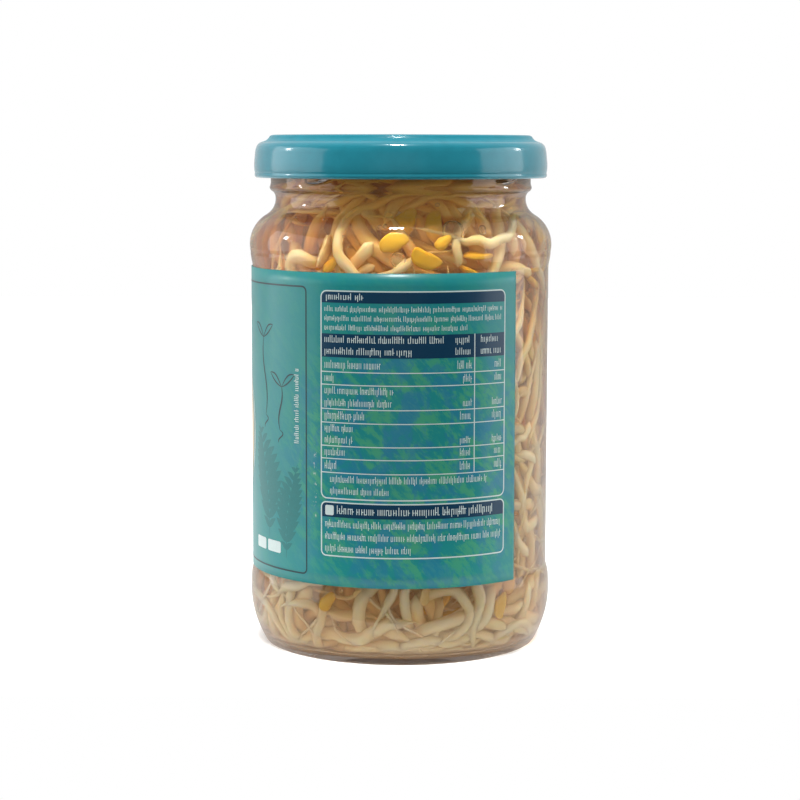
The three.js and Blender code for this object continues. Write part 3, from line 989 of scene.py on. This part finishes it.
class JAR_OT_label(bpy.types.Operator):
    """Add the printed paper label"""

    bl_idname = "jar.label"
    bl_label = "Label"

    def execute(self, context):
        label = context.scene.jar_label
        columns, rows = 300, 24
        heights = np.linspace(label.low_z / MM, label.high_z / MM, rows + 1)
        face = label.radius / MM
        section = [(face, z) for z in heights]
        section += [(face - label.thick / MM, z) for z in heights[::-1]]
        points = []
        for turn in np.linspace(label.start, label.end, columns + 1):
            points += [round_at(r, turn, z) for r, z in section]
        around = len(section)
        faces = between_rings(columns + 1, around)
        for first in (0, columns * around):
            last = first + around - 1
            faces += [(first + k, first + k + 1, last - k - 1, last - k) for k in range(rows)]
        piece = welded(new_piece("paper_label", points, faces, label_paint(label)))
        dress(piece, "jar", "label", "label")
        self.print(label, face)
        return {"FINISHED"}

    def print(self, label, face):
        random = np.random.default_rng(31)
        pale, dark, lines, cream, leaves = (Ink(face) for _ in range(5))
        print_table(pale, dark, random)
        print_front(pale, lines, cream, leaves, random)
        leaf_tone = tuple(c * 0.8 for c in label.ground)
        leaves.piece("print_leaves", 0.014, ink_paint("ink_leaves", leaf_tone))
        cream.piece("print_round", 0.02, ink_paint("ink_cream", tuple(label.cream)))
        lines.piece("print_lines", 0.026, ink_paint("ink_lines", tuple(label.line)))
        dark.piece("print_bars", 0.02, ink_paint("ink_bars", tuple(label.header)))
        pale.piece("print_pale", 0.032, ink_paint("ink_pale", tuple(label.pale), 0.12))


def brine_paint():
    paint = Paint("brine")
    x, y, z = paint.place()
    swirl = paint.noise(paint.vector(x, y, z), 0.1, 1.0)
    paint.set(
        Base_Color=(1, 1, 1),
        Roughness=0.0,
        IOR=1.34,
        Transmission_Weight=1.0,
        Specular_Tint=(0.15, 0.15, 0.15),
    )
    paint.bump(swirl, 0.02, 0.5)
    cloud = paint.noise(paint.vector(x, y, z), 0.13, 3.0)
    paint.veil((0.17 + z.smooth(75, 8) * 0.08) * (0.5 + cloud), (0.74, 0.51, 0.25))
    paint.let_light_pass((0.99, 0.985, 0.975))
    paint.filled_with((0.965, 0.65, 0.2), 170.0)
    return paint.material


# Bubbles that stand out in the picture: turn in degrees, height, radius
MAIN_BUBBLES = (
    (22.0, 97.9, 2.6),
    (35.0, 98.3, 1.0),
    (-1.0, 92.9, 1.7),
    (-8.5, 99.0, 0.55),
    (-6.4, 99.2, 0.5),
    (-50.0, 92.9, 0.9),
    (17.5, 104.6, 0.6),
)


def bubble_places(amount):
    """Turn, height and radius of every bubble: the ones seen, and small ones by a seeded rule."""
    random = np.random.default_rng(5)
    made = list(MAIN_BUBBLES)
    while len(made) < amount:
        turn = random.uniform(-180, 180)
        height = 100 - 88 * random.random() ** 2.2
        size = random.uniform(0.18, 0.5)
        apart = [math.hypot((turn - t) * 0.57, height - h) - size - s for t, h, s in made]
        if min(apart) > 0.3:
            made.append((turn, height, size))
    return made


class JAR_OT_brine(bpy.types.Operator):
    """Add the brine, with its bubbles as hollows in it"""

    bl_idname = "jar.brine"
    bl_label = "Brine"

    def execute(self, context):
        jar = context.scene.jar
        brine = context.scene.jar_brine
        level = brine.top_z / MM
        wall = glass_inside(jar, -0.02, level + 0.35)
        rim = wall[-1][0]
        creep = [(rim - 0.25, level + 0.12), (rim - 0.7, level + 0.02), (rim - 1.6, level)]
        points, faces = spun([*wall, *creep, (0, level)], jar.segments)
        piece = welded(new_piece("brine_liquid", points, faces, brine_paint()))
        made = bmesh.new()
        made.from_mesh(piece.data)
        wall = Wall(jar)
        for turn, height, size in bubble_places(brine.bubbles):
            flat = 0.62 * size
            out, side = directions(math.radians(turn))
            centre = out * (wall.at(height) - flat - 0.12) + UP * height
            add_bubble(made, centre, out * flat, side * size, UP * size)
        made.to_mesh(piece.data)
        made.free()
        piece.data.shade_smooth()
        dress(piece, "jar", "brine", "brine")
        return {"FINISHED"}


def add_bubble(made, centre, out, side, up, turns=20, rings=12):
    """Adds an ellipsoid hollow, with these half axes, to a bmesh."""
    verts = []
    for i in range(rings + 1):
        lift = math.pi * (i / rings - 0.5)
        for k in range(turns):
            t = TAU * k / turns
            level = (out * math.cos(t) + side * math.sin(t)) * math.cos(lift)
            verts.append(made.verts.new(Vector(centre + level + up * math.sin(lift)) * MM))
    faces = between_rings(rings + 1, turns)
    fresh = [made.faces.new([verts[n] for n in reversed(face)]) for face in faces]
    bmesh.ops.remove_doubles(made, verts=verts, dist=WELD)
    for face in fresh:
        if face.is_valid:
            face.smooth = True


class Wall:
    """Radius of the inside of the glass at any height, for a number or an array."""

    def __init__(self, jar):
        wall = np.array(glass_inside(jar, 0, jar.rim_z / MM - 1))[FLOOR_STEPS:]
        self.heights = wall[:, 1]
        self.radii = wall[:, 0]

    def at(self, z):
        return np.interp(z, self.heights, self.radii)


# Yellow seed halves in sight: angle, height, heading, half length, yellowness
MAIN_HALVES = (
    (2.2, 100.2, 62, 4.0, 1.0),
    (-2.6, 96.4, 15, 3.3, 1.0),
    (9.9, 92.6, -20, 3.6, 0.95),
    (14.3, 99.6, 80, 3.6, 0.85),
    (17.0, 96.2, 30, 2.1, 0.75),
    (74.0, 97.4, 60, 2.8, 0.8),
    (78.0, 91.6, 85, 3.0, 0.7),
    (-66.0, 100.0, 70, 2.8, 0.7),
    (-30.0, 14.2, 50, 2.6, 0.8),
    (44.0, 12.6, 70, 3.0, 0.85),
)


def pressed_in(points, wall):
    """Points moved up and in where they would stand out of the brine."""
    points = np.array(points)
    points[:, 2] += max(0, FLOOR_Z + 0.9 - points[:, 2].min())
    out = np.maximum(np.hypot(points[:, 0], points[:, 1]), 1e-6)
    points[:, :2] *= np.minimum(1, (wall.at(points[:, 2]) - 0.45) / out)[:, None]
    return points


def place_by_wall(wall, angle, height, deep):
    """A point at a depth behind the glass. The angle runs in degrees from -Y towards +X."""
    return np.array(round_at(float(wall.at(height)) - deep, math.radians(angle), height))


HIGHEST_BEAD = 110.4  # top of the highest stems, under the brine's level
THIN_SHARE = 0.14  # share of the stems that are thin as roots
CLEAR = 1.9  # room kept round the yellow halves


class Sprouts:
    """Stems as chains of beads that settle against each other inside the glass."""

    def __init__(self, jar, settings, steps):
        self.wall = Wall(jar)
        self.random = np.random.default_rng(20)
        self.amount = settings.amount
        self.beads = settings.beads
        self.core = settings.core_r / MM
        self.floor_r = jar.inside_r / MM - INNER_HEEL_BEND
        self.clear = [place_by_wall(self.wall, *half[:2], 1.4) for half in MAIN_HALVES]
        share = np.linspace(0, 1, self.beads)
        self.length = self.random.uniform(
            settings.shortest / MM, settings.longest / MM, self.amount
        )
        thick = settings.stem / MM * self.random.uniform(0.8, 1.32, self.amount)
        thin = self.random.random(self.amount) < THIN_SHARE
        thick[thin] *= 0.3
        stem_end = self.random.uniform(0.55, 0.85, self.amount)
        root = self.random.uniform(0.2, 0.42, self.amount)
        root = np.minimum(root, thick)
        tail = smoothstep(share[None, :], stem_end[:, None], stem_end[:, None] + 0.14)
        self.radius = thick[:, None] * (1 - tail) + root[:, None] * tail
        self.points = self.first_places(share)
        self.settle(steps)

    def first_places(self, share):
        """Curved stems laid about the jar: most follow the glass, some cross it."""
        random = self.random
        points = np.zeros((self.amount, self.beads, 3))
        for n in range(self.amount):
            height = random.uniform(3, 105)
            turn = random.uniform(0, TAU)
            r = min(self.wall.at(height) - 1.5, 32) - 8.5 * random.random() ** 1.4
            heading = random.uniform(0, TAU)
            curl = random.normal(0, 0.9)
            hook = random.choice([0, 0, 0, 0, 2.4, -2.4]) * random.uniform(0.5, 1.2)
            dive = random.normal(0, 0.22)
            step = self.length[n] / (self.beads - 1)
            place = np.array(round_at(r, turn, height))
            chain = []
            for s in share:
                way = heading + curl * (s - 0.5) + hook * smoothstep(s, 0.05, 0.35)
                out, side = directions(math.atan2(place[0], -place[1]))
                chain.append(place)
                place = place + step * (side * math.cos(way) + UP * math.sin(way) + out * dive)
                flat = math.hypot(place[0], place[1])
                limit = self.wall.at(min(max(place[2], 8), 112)) - 1.5
                if flat > limit:
                    place[:2] *= limit / flat
            points[n] = chain
        return points

    def settle(self, steps):
        flat = self.points.reshape(-1, 3)
        radius = self.radius.ravel()
        owner = np.repeat(np.arange(self.amount), self.beads)
        first = np.arange(flat.shape[0]).reshape(self.amount, self.beads)
        links = np.repeat(self.length[:, None] / (self.beads - 1), self.beads - 1, axis=1)
        across = np.linalg.norm(self.points[:, 2:] - self.points[:, :-2], axis=2)
        further = np.linalg.norm(self.points[:, 4:] - self.points[:, :-4], axis=2)
        # Beads kept apart, sets that don't share a bead, their distances, stiffness
        holds = ((1, 2, links, 1.0), (2, 3, across, 0.9), (4, 4, further, 0.6))
        pairs = None
        for step in range(steps):
            if step % 8 == 0:
                pairs = self.near_pairs(flat, owner, 2.2 * radius.max() + 0.6)
            self.push_apart(flat, radius, pairs)
            for skip, sets, rest, stiff in holds:
                for n in range(sets):
                    a = first[:, n : -skip : skip + 1]
                    b = first[:, n + skip :: skip + 1]
                    self.hold(flat, a, b, rest[:, n :: skip + 1], stiff)
            self.keep_inside(flat, radius)
        self.points = flat.reshape(self.amount, self.beads, 3)

    @staticmethod
    def near_pairs(flat, owner, reach):
        tree = kdtree.KDTree(len(flat))
        for n, p in enumerate(flat):
            tree.insert(p, n)
        tree.balance()
        found = []
        for n, p in enumerate(flat):
            found += [(n, m) for _, m, _ in tree.find_range(p, reach) if m > n]
        pairs = np.array(found)
        return pairs[owner[pairs[:, 0]] != owner[pairs[:, 1]]]

    @staticmethod
    def push_apart(flat, radius, pairs):
        a, b = pairs[:, 0], pairs[:, 1]
        gap = flat[b] - flat[a]
        far = np.maximum(np.linalg.norm(gap, axis=1), 1e-6)
        deep = np.maximum(0, radius[a] + radius[b] - far)
        touch = deep > 0
        a, b = a[touch], b[touch]
        move = gap[touch] * (0.5 * deep[touch] / far[touch])[:, None]
        hits = np.bincount(a, minlength=len(flat)) + np.bincount(b, minlength=len(flat))
        for axis in range(3):
            shift = np.bincount(b, move[:, axis], len(flat))
            shift -= np.bincount(a, move[:, axis], len(flat))
            flat[:, axis] += 1.3 * shift / np.maximum(1, 0.5 * hits + 0.5)

    @staticmethod
    def hold(flat, a, b, rest, stiff):
        """Keeps pairs of beads at their distance."""
        gap = flat[b] - flat[a]
        far = np.maximum(np.linalg.norm(gap, axis=2), 1e-6)
        move = gap * (0.5 * stiff * (far - rest) / far)[..., None]
        flat[a] += move
        flat[b] -= move

    def keep_inside(self, flat, radius):
        for centre in self.clear:
            gap = flat - centre
            far = np.maximum(np.linalg.norm(gap, axis=1), 1e-6)
            deep = np.maximum(0, CLEAR + radius - far)
            flat += gap * (deep / far)[:, None]
        out = np.maximum(np.hypot(flat[:, 0], flat[:, 1]), 1e-6)
        lowest = floor_at(out, self.floor_r) + 0.2 + radius
        flat[:, 2] = np.clip(flat[:, 2], lowest, HIGHEST_BEAD - radius)
        limit = self.wall.at(flat[:, 2]) - radius - 0.15
        core = np.minimum(self.core, limit - 3) * (flat[:, 2] < 104)
        wanted = np.clip(out, np.minimum(core, limit), limit)
        flat[:, :2] *= (wanted / out)[:, None]
        out = np.hypot(flat[:, 0], flat[:, 1])
        side = np.maximum(0, out - self.floor_r)
        down = np.maximum(0, FLOOR_Z + INNER_HEEL_BEND - flat[:, 2])
        far = np.maximum(np.hypot(side, down), 1e-6)
        scale = np.minimum(1, (INNER_HEEL_BEND - radius - 0.5) / far)
        heel = (side > 0) & (down > 0) & (scale < 1)
        flat[heel, 2] = (FLOOR_Z + INNER_HEEL_BEND - down * scale)[heel]
        flat[heel, :2] *= ((self.floor_r + side * scale) / np.maximum(out, 1e-6))[heel, None]


def smooth_chain(chain, rings):
    """Points on a smooth curve through a chain of beads."""
    beads = len(chain)
    at = np.linspace(0, beads - 1, rings)
    i = np.minimum(at.astype(int), beads - 2)
    t = (at - i)[:, None]
    padded = np.vstack([2 * chain[0] - chain[1], chain, 2 * chain[-1] - chain[-2]])
    a, b, c, d = padded[i], padded[i + 1], padded[i + 2], padded[i + 3]
    return spline(a, b, c, d, t)


def tube(path, radii, sides):
    """Points and faces of a round tube with rounded ends along a path."""
    along = np.gradient(path, axis=0)
    along /= np.maximum(np.linalg.norm(along, axis=1), 1e-9)[:, None]
    normal = np.cross(along[0], [0.3, 0.5, 0.81])
    points = []
    for i, centre in enumerate(path):
        normal = normal - along[i] * (normal @ along[i])
        normal /= np.linalg.norm(normal)
        other = np.cross(along[i], normal)
        for k in range(sides):
            t = TAU * k / sides
            points.append(centre + radii[i] * (normal * math.cos(t) + other * math.sin(t)))
    return np.array(points), closed_rings(len(path), sides)


class Heap:
    """Collects many small shapes into one mesh, with a number for each point's shade."""

    def __init__(self):
        self.points = []
        self.faces = []
        self.shades = {"along": [], "tone": []}
        self.total = 0

    def add(self, points, faces, along, tone):
        self.points.append(np.asarray(points))
        self.faces += [tuple(self.total + n for n in face) for face in faces]
        self.total += len(points)
        self.shades["along"].append(np.broadcast_to(along, len(points)))
        self.shades["tone"].append(np.full(len(points), tone))

    def piece(self, name, material):
        shades = {key: np.concatenate(values) for key, values in self.shades.items()}
        return new_piece(name, np.vstack(self.points), self.faces, material, shades)


def sprout_paint():
    paint = Paint("sprout_flesh")
    x, y, z = paint.place()
    along = paint.attribute("along")
    tone = paint.attribute("tone")
    out = from_axis(x, y)
    fibres = paint.noise(paint.vector(x, y, z), 1.1, 3.0, 0.6)
    blotch = paint.noise(paint.vector(x + tone * 50, y, z), 0.14, 2.0)
    cream = paint.mix(tone, (0.92, 0.73, 0.41), (0.95, 0.81, 0.56))
    warm = paint.mix(blotch.smooth(0.5, 0.72), cream, (0.92, 0.66, 0.3))
    root = paint.mix(along.smooth(0.62, 0.95), warm, (0.88, 0.64, 0.3))
    # Painted light: stems lighter towards the bottom of the jar, in place of more light there.
    root = paint.mix(z.smooth(34, 14) * 0.6, root, (0.97, 0.86, 0.64))
    # Painted shade: stems further in from the glass are more amber, for the shade and brine
    # between them.
    deep = out.smooth(30.5, 25.0)
    inner = paint.mix(deep * 0.42, root, (0.85, 0.47, 0.14))
    # Painted shade: higher up, and most behind the front stems, the stems turn darker amber under
    # the shoulder and lid.
    behind = out.smooth(31.6, 28.6)
    high = z.smooth(82, 92)
    shoulder_shade = paint.mix(high * (behind * 0.62 + 0.1), inner, (0.74, 0.44, 0.075))
    # Painted shade: in the neck, under the lid, the stems are darker amber still.
    flesh = paint.mix(z.smooth(99, 107) * (behind * 0.45 + 0.35), shoulder_shade, (0.72, 0.38, 0.06))
    paint.set(
        Base_Color=flesh,
        # Painted light: an amber glow in the stems high up and behind the front ones, though
        # nothing lights them.
        Emission_Color=paint.mix(behind * high, (0, 0, 0), (0.3, 0.15, 0.01)),
        Emission_Strength=0.09,
        Roughness=0.45,
        Specular_IOR_Level=0.1,
        Subsurface_Weight=0.7,
        Subsurface_Radius=(1.0, 0.65, 0.35),
        Subsurface_Scale=3.0 * MM,
    )
    paint.bump(fibres, 0.25, 0.2)
    paint.let_light_pass((0.97, 0.86, 0.64), 0.5)
    return paint.material


def half_paint():
    paint = Paint("seed_half")
    x, y, z = paint.place()
    along = paint.attribute("along")
    tone = paint.attribute("tone")
    grain = paint.noise(paint.vector(x, y, z), 0.9, 3.0)
    pale = paint.mix(grain, (0.85, 0.66, 0.3), (0.9, 0.78, 0.5))
    yellow = paint.mix(grain, (0.82, 0.45, 0.012), (0.86, 0.54, 0.03))
    skin = paint.mix(tone.smooth(0.3, 0.7), pale, yellow)
    paint.set(
        Base_Color=paint.mix(along.smooth(0.75, 1.0) * 0.5, skin, (0.66, 0.36, 0.06)),
        Roughness=0.4,
        Specular_IOR_Level=0.1,
        Subsurface_Weight=0.25,
        Subsurface_Radius=(1.0, 0.6, 0.2),
        Subsurface_Scale=1.2 * MM,
    )
    paint.bump(grain, 0.2, 0.2)
    paint.let_light_pass((0.97, 0.84, 0.5), 0.35)
    return paint.material


def core_paint():
    paint = Paint("packed_core")
    x, y, z = paint.place()
    strands = paint.noise(paint.vector(x, y, z), 0.25, 4.0, 0.6, 1.2)
    light = paint.mix(strands.smooth(0.35, 0.65), (0.6, 0.3, 0.1), (0.86, 0.58, 0.3))
    paint.set(
        # Painted shade: the block turns darker amber towards the top, under the shoulder and lid.
        Base_Color=paint.mix(z.smooth(86, 98) * 0.9, light, (0.58, 0.23, 0.035)),
        Roughness=0.6,
        Specular_IOR_Level=0.05,
    )
    paint.bump(strands, 0.6, 1.0)
    return paint.material


def seed_half(centre, forwards, outwards, size):
    """One half of a seed: domed on one side, nearly flat on the other, narrower at its tip."""
    forwards = forwards / np.linalg.norm(forwards)
    outwards = outwards - forwards * (outwards @ forwards)
    outwards /= np.linalg.norm(outwards)
    side = np.cross(forwards, outwards)
    lean = math.sin((centre[0] + centre[2]) * 1900)
    curl = math.sin((centre[1] - centre[2]) * 2300)
    turns, rings = 16, 12
    points, along = [], []
    for i in range(rings + 1):
        lift = math.pi * (i / rings - 0.5)
        s = math.sin(lift)
        wide = math.cos(lift) ** 0.85 * (1 - 0.2 * s + 0.08 * math.sin(5 * s + 3 * curl))
        for k in range(turns):
            t = TAU * k / turns
            dome = math.cos(t) * wide
            dome *= 0.36 if dome > 0 else 0.12
            points.append(
                centre
                + forwards * size * s
                + side * size * (0.54 * wide * math.sin(t) + 0.22 * lean * s * s)
                + outwards * size * (dome + 0.1 * s * s + 0.09 * curl * math.sin(t) * wide)
            )
            along.append((s + 1) / 2)
    return points, between_rings(rings + 1, turns), np.array(along)


def add_half(seeds, wall, centre, forwards, outwards, size, tone):
    """Adds a seed half to a heap, kept inside the glass."""
    points, faces, along = seed_half(centre, forwards, outwards, size)
    seeds.add(pressed_in(points, wall), faces, along, tone)


class JAR_OT_sprouts(bpy.types.Operator):
    """Add the bean sprouts: stems with roots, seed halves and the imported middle"""

    bl_idname = "jar.sprouts"
    bl_label = "Sprouts"

    def execute(self, context):
        jar = context.scene.jar
        settings = context.scene.jar_sprouts
        steps = settings.settling
        sprouts = Sprouts(jar, settings, steps)
        random = np.random.default_rng(77)
        low, high, seeds = Heap(), Heap(), Heap()
        sides = 7
        for chain, radius in zip(sprouts.points, sprouts.radius):
            path = smooth_chain(chain, 36)
            share = np.linspace(0, 1, len(path))
            radii = np.interp(share, np.linspace(0, 1, len(radius)), radius)
            waves = np.sin(share * random.uniform(14, 30) + random.uniform(0, 6))
            blunt = np.sqrt(np.maximum(0.02, 1 - (1 - np.minimum(1, share / 0.02)) ** 2))
            point = np.minimum(1, 0.15 + (1 - share) / 0.08)
            radii = radii * (1 + 0.06 * waves) * (np.minimum(1, blunt) * point)
            points, faces = tube(path, radii, sides)
            heap = low if chain[:, 2].mean() < 55 else high
            heap.add(points, faces, np.repeat(share, sides), random.random())
            if random.random() < 0.22 and radius[0] > 0.7:
                self.add_head(seeds, sprouts.wall, path, random)
        self.add_loose(seeds, sprouts.wall, settings.halves, random)
        paint = sprout_paint()
        nodes = ["packed_sprouts", "loose_sprout_1", "loose_sprout_2"]
        dress(low.piece("sprouts_below", paint), "jar", "sprouts", *nodes)
        dress(high.piece("sprouts_above", paint), "jar", "sprouts", *nodes)
        dress(welded(seeds.piece("seed_halves", half_paint())), "jar", "sprouts", *nodes)
        self.add_core(settings.core_r / MM)
        return {"FINISHED"}

    def add_head(self, seeds, wall, path, random):
        """Two seed halves at the thick end of a sprout."""
        forwards = path[0] - path[2]
        forwards /= np.linalg.norm(forwards)
        outwards = np.array([path[0][0], path[0][1], 0.0])
        outwards /= np.linalg.norm(outwards)
        side = np.cross(forwards, outwards)
        size = random.uniform(2.7, 3.7)
        tone = random.uniform(0.1, 0.9)
        for way in (-1, 1):
            lean = forwards + 0.3 * way * side
            centre = path[0] + lean * size * 0.6 + side * way * size * 0.28
            add_half(seeds, wall, centre, lean, side * way, size, tone)

    def add_loose(self, seeds, wall, amount, random):
        """Seed halves that have come off and lie against the glass, flat side in or out."""
        for angle, height, heading, size, tone in MAIN_HALVES:
            centre = place_by_wall(wall, angle, height, 1.3)
            out, side = directions(math.radians(angle))
            way = math.radians(heading)
            forwards = side * math.cos(way) + UP * math.sin(way)
            add_half(seeds, wall, centre, forwards, out, size, tone)
        for _ in range(amount):
            height = random.uniform(14, 108)
            turn = random.uniform(0, TAU)
            size = random.uniform(2.1, 3.1)
            r = wall.at(height) - 1.2 - 3.5 * random.random()
            out, side = directions(turn)
            way = random.uniform(0, TAU)
            forwards = side * math.cos(way) + UP * math.sin(way)
            facing = out * random.choice([-1, 1]) + side * random.normal(0, 0.4)
            centre = out * r + UP * height
            add_half(seeds, wall, centre, forwards, facing, size, 0.7 * random.random())

    def add_core(self, radius):
        """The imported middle: a lumpy upright block that hardly shows."""

        def swell(turns, r, z):
            lumps = np.sin(9 * turns + 0.31 * z) * np.sin(0.4 * z - 5 * turns)
            return np.where(r > 5, 0.9 * lumps, 0)

        profile = [(0, 6.6), (8, 5.9), (17, 4.2), (radius - 1, 3.8)]
        profile += [(radius, z) for z in np.linspace(5, 94, 60)]
        profile += [(radius, 98), (radius, 104), (radius, 108), (radius - 1.5, 109.8), (0, 110)]
        points, faces = spun(profile, 120, swell)
        core = welded(new_piece("packed_core", points, faces, core_paint()))
        dress(core, "jar", "sprouts", "packed_sprouts")


LAMP_TARGET = (0, 0, 0.07)  # middle of the jar, in metres

# Name, turn and lift in degrees, distance, width and height in metres, watts, and the rays that
# don't see it
LAMPS = (
    ("lamp_left", -90, 8, 0.75, 0.8, 0.6, 1.5, ()),
    ("lamp_right", 86, 8, 0.75, 0.6, 0.6, 0.9, ()),
    ("sheen_left", -90, 8, 0.74, 0.8, 0.6, 1.1, ("diffuse",)),
    ("sheen_right", 86, 8, 0.74, 0.6, 0.6, 1.2, ("diffuse",)),
    ("lamp_left_core", -99, 20, 0.7, 0.05, 0.07, 0.3, ()),
    ("lamp_right_core", 106, 20, 0.7, 0.05, 0.07, 0.3, ()),
    ("lamp_above", -6, 71, 0.8, 0.1, 0.07, 4.2, ()),
    ("lamp_front", -3, 3, 0.75, 0.5, 0.4, 1.3, ("glossy", "transmission")),
)


def lamp(name, turn, lift, distance, width, height, watts):
    """A soft rectangular lamp on a sphere about the jar."""
    data = bpy.data.lights.new(name, "AREA")
    data.shape = "RECTANGLE"
    data.size = width
    data.size_y = height
    data.energy = watts
    made = bpy.data.objects.new(name, data)
    lift = math.radians(lift)
    height = LAMP_TARGET[2] + distance * math.sin(lift)
    made.location = round_at(distance * math.cos(lift), math.radians(turn), height)
    to_jar = Vector(LAMP_TARGET) - made.location
    made.rotation_euler = to_jar.to_track_quat("-Z", "Y").to_euler()
    bpy.context.scene.collection.objects.link(made)
    return made


class JAR_OT_stage(bpy.types.Operator):
    """Add the camera, the lamps, the white surround and the pale floor"""

    bl_idname = "jar.stage"
    bl_label = "Camera, lamps and floor"

    def execute(self, context):
        scene = context.scene
        stage = scene.jar_stage
        self.camera(scene, stage)
        self.lamps(stage)
        self.surround(scene, stage)
        self.floor()
        scene.view_settings.view_transform = "Standard"
        return {"FINISHED"}

    def camera(self, scene, stage):
        data = bpy.data.cameras.new("camera")
        data.sensor_width = 36
        data.lens = stage.focal_px * data.sensor_width / IMAGE
        data.clip_start = 0.01
        camera = bpy.data.objects.new("camera", data)
        camera.location = (stage.aside, -stage.distance, stage.height)
        camera.rotation_euler = (math.pi / 2 - stage.pitch, stage.roll, 0)
        scene.collection.objects.link(camera)
        scene.camera = camera

    def lamps(self, stage):
        for *place, watts, unseen_by in LAMPS:
            made = lamp(*place, watts * stage.lamps)
            for rays in unseen_by:
                setattr(made, f"visible_{rays}", False)

    def surround(self, scene, stage):
        """White for the camera. What lights the jar is darker from behind the camera."""
        world = bpy.data.worlds.new("surround")
        scene.world = world
        world.use_nodes = True
        tree = world.node_tree
        sky = tree.nodes["Background"]
        place = tree.nodes.new("ShaderNodeTexCoord")
        split = tree.nodes.new("ShaderNodeSeparateXYZ")
        feed(tree, split.inputs[0], place.outputs["Generated"])
        facing = -Value(tree, split.outputs["Y"])
        share = facing.smooth(-0.35, 0.5)
        seen = Value(tree, tree.nodes.new("ShaderNodeLightPath").outputs["Is Camera Ray"])
        sky.inputs["Color"].default_value = (1, 1, 1, 1)
        feed(tree, sky.inputs["Strength"], ((1 - share * (1 - stage.front)) * 0.72).most(seen))

    def floor(self):
        mesh = bpy.data.meshes.new("floor")
        corners = [(-0.6, -0.06, 0), (0.6, -0.06, 0), (0.6, 1.2, 0), (-0.6, 1.2, 0)]
        mesh.from_pydata(corners, [], [(0, 1, 2, 3)])
        floor = bpy.data.objects.new("floor", mesh)
        bpy.context.scene.collection.objects.link(floor)
        paint = Paint("floor")
        x, y, z = paint.place()
        grain = paint.noise(paint.vector(x, y, z), 0.4, 2.0)
        out = from_axis(x, y)
        # Painted light: under the jar the floor glows amber, like light that has passed through
        # the brine. Further out it glows an even grey, and white where the camera sees it.
        under = paint.mix(out.smooth(30, 32), (0.2, 0.12, 0.05), (0.28, 0.28, 0.28))
        seen = paint.node("ShaderNodeLightPath", "Is Camera Ray") * out.smooth(31, 38)
        paint.set(
            Base_Color=paint.mix(grain, (0.9, 0.9, 0.9), (0.92, 0.92, 0.92)),
            Roughness=0.9,
            Specular_IOR_Level=0.0,
            Emission_Color=paint.mix(seen, under, (0.8, 0.8, 0.8)),
            Emission_Strength=1.0,
        )
        mesh.materials.append(paint.material)


class JAR_PT_panel(bpy.types.Panel):
    """Buttons for the pieces"""

    bl_idname = "JAR_PT_panel"
    bl_label = "Jar of bean sprouts"
    bl_space_type = "VIEW_3D"
    bl_region_type = "UI"
    bl_category = "Jar"

    def draw(self, context):
        for operator in OPERATORS:
            self.layout.operator(operator.bl_idname)


SETTINGS = {
    "jar": JarSettings,
    "jar_lid": LidSettings,
    "jar_label": LabelSettings,
    "jar_sprouts": SproutSettings,
    "jar_brine": BrineSettings,
    "jar_stage": StageSettings,
}
OPERATORS = (
    JAR_OT_glass,
    JAR_OT_lid,
    JAR_OT_label,
    JAR_OT_brine,
    JAR_OT_sprouts,
    JAR_OT_stage,
)
CLASSES = (*SETTINGS.values(), *OPERATORS, JAR_PT_panel)


def register():
    for made in CLASSES:
        bpy.utils.register_class(made)
    for name, group in SETTINGS.items():
        setattr(bpy.types.Scene, name, bpy.props.PointerProperty(type=group))


def unregister():
    for name in SETTINGS:
        delattr(bpy.types.Scene, name)
    for made in reversed(CLASSES):
        bpy.utils.unregister_class(made)


def main():
    register()
    bpy.ops.jar.glass()
    bpy.ops.jar.lid()
    bpy.ops.jar.label()
    bpy.ops.jar.brine()
    bpy.ops.jar.sprouts()
    bpy.ops.jar.stage()


if __name__ == "__main__":
    main()
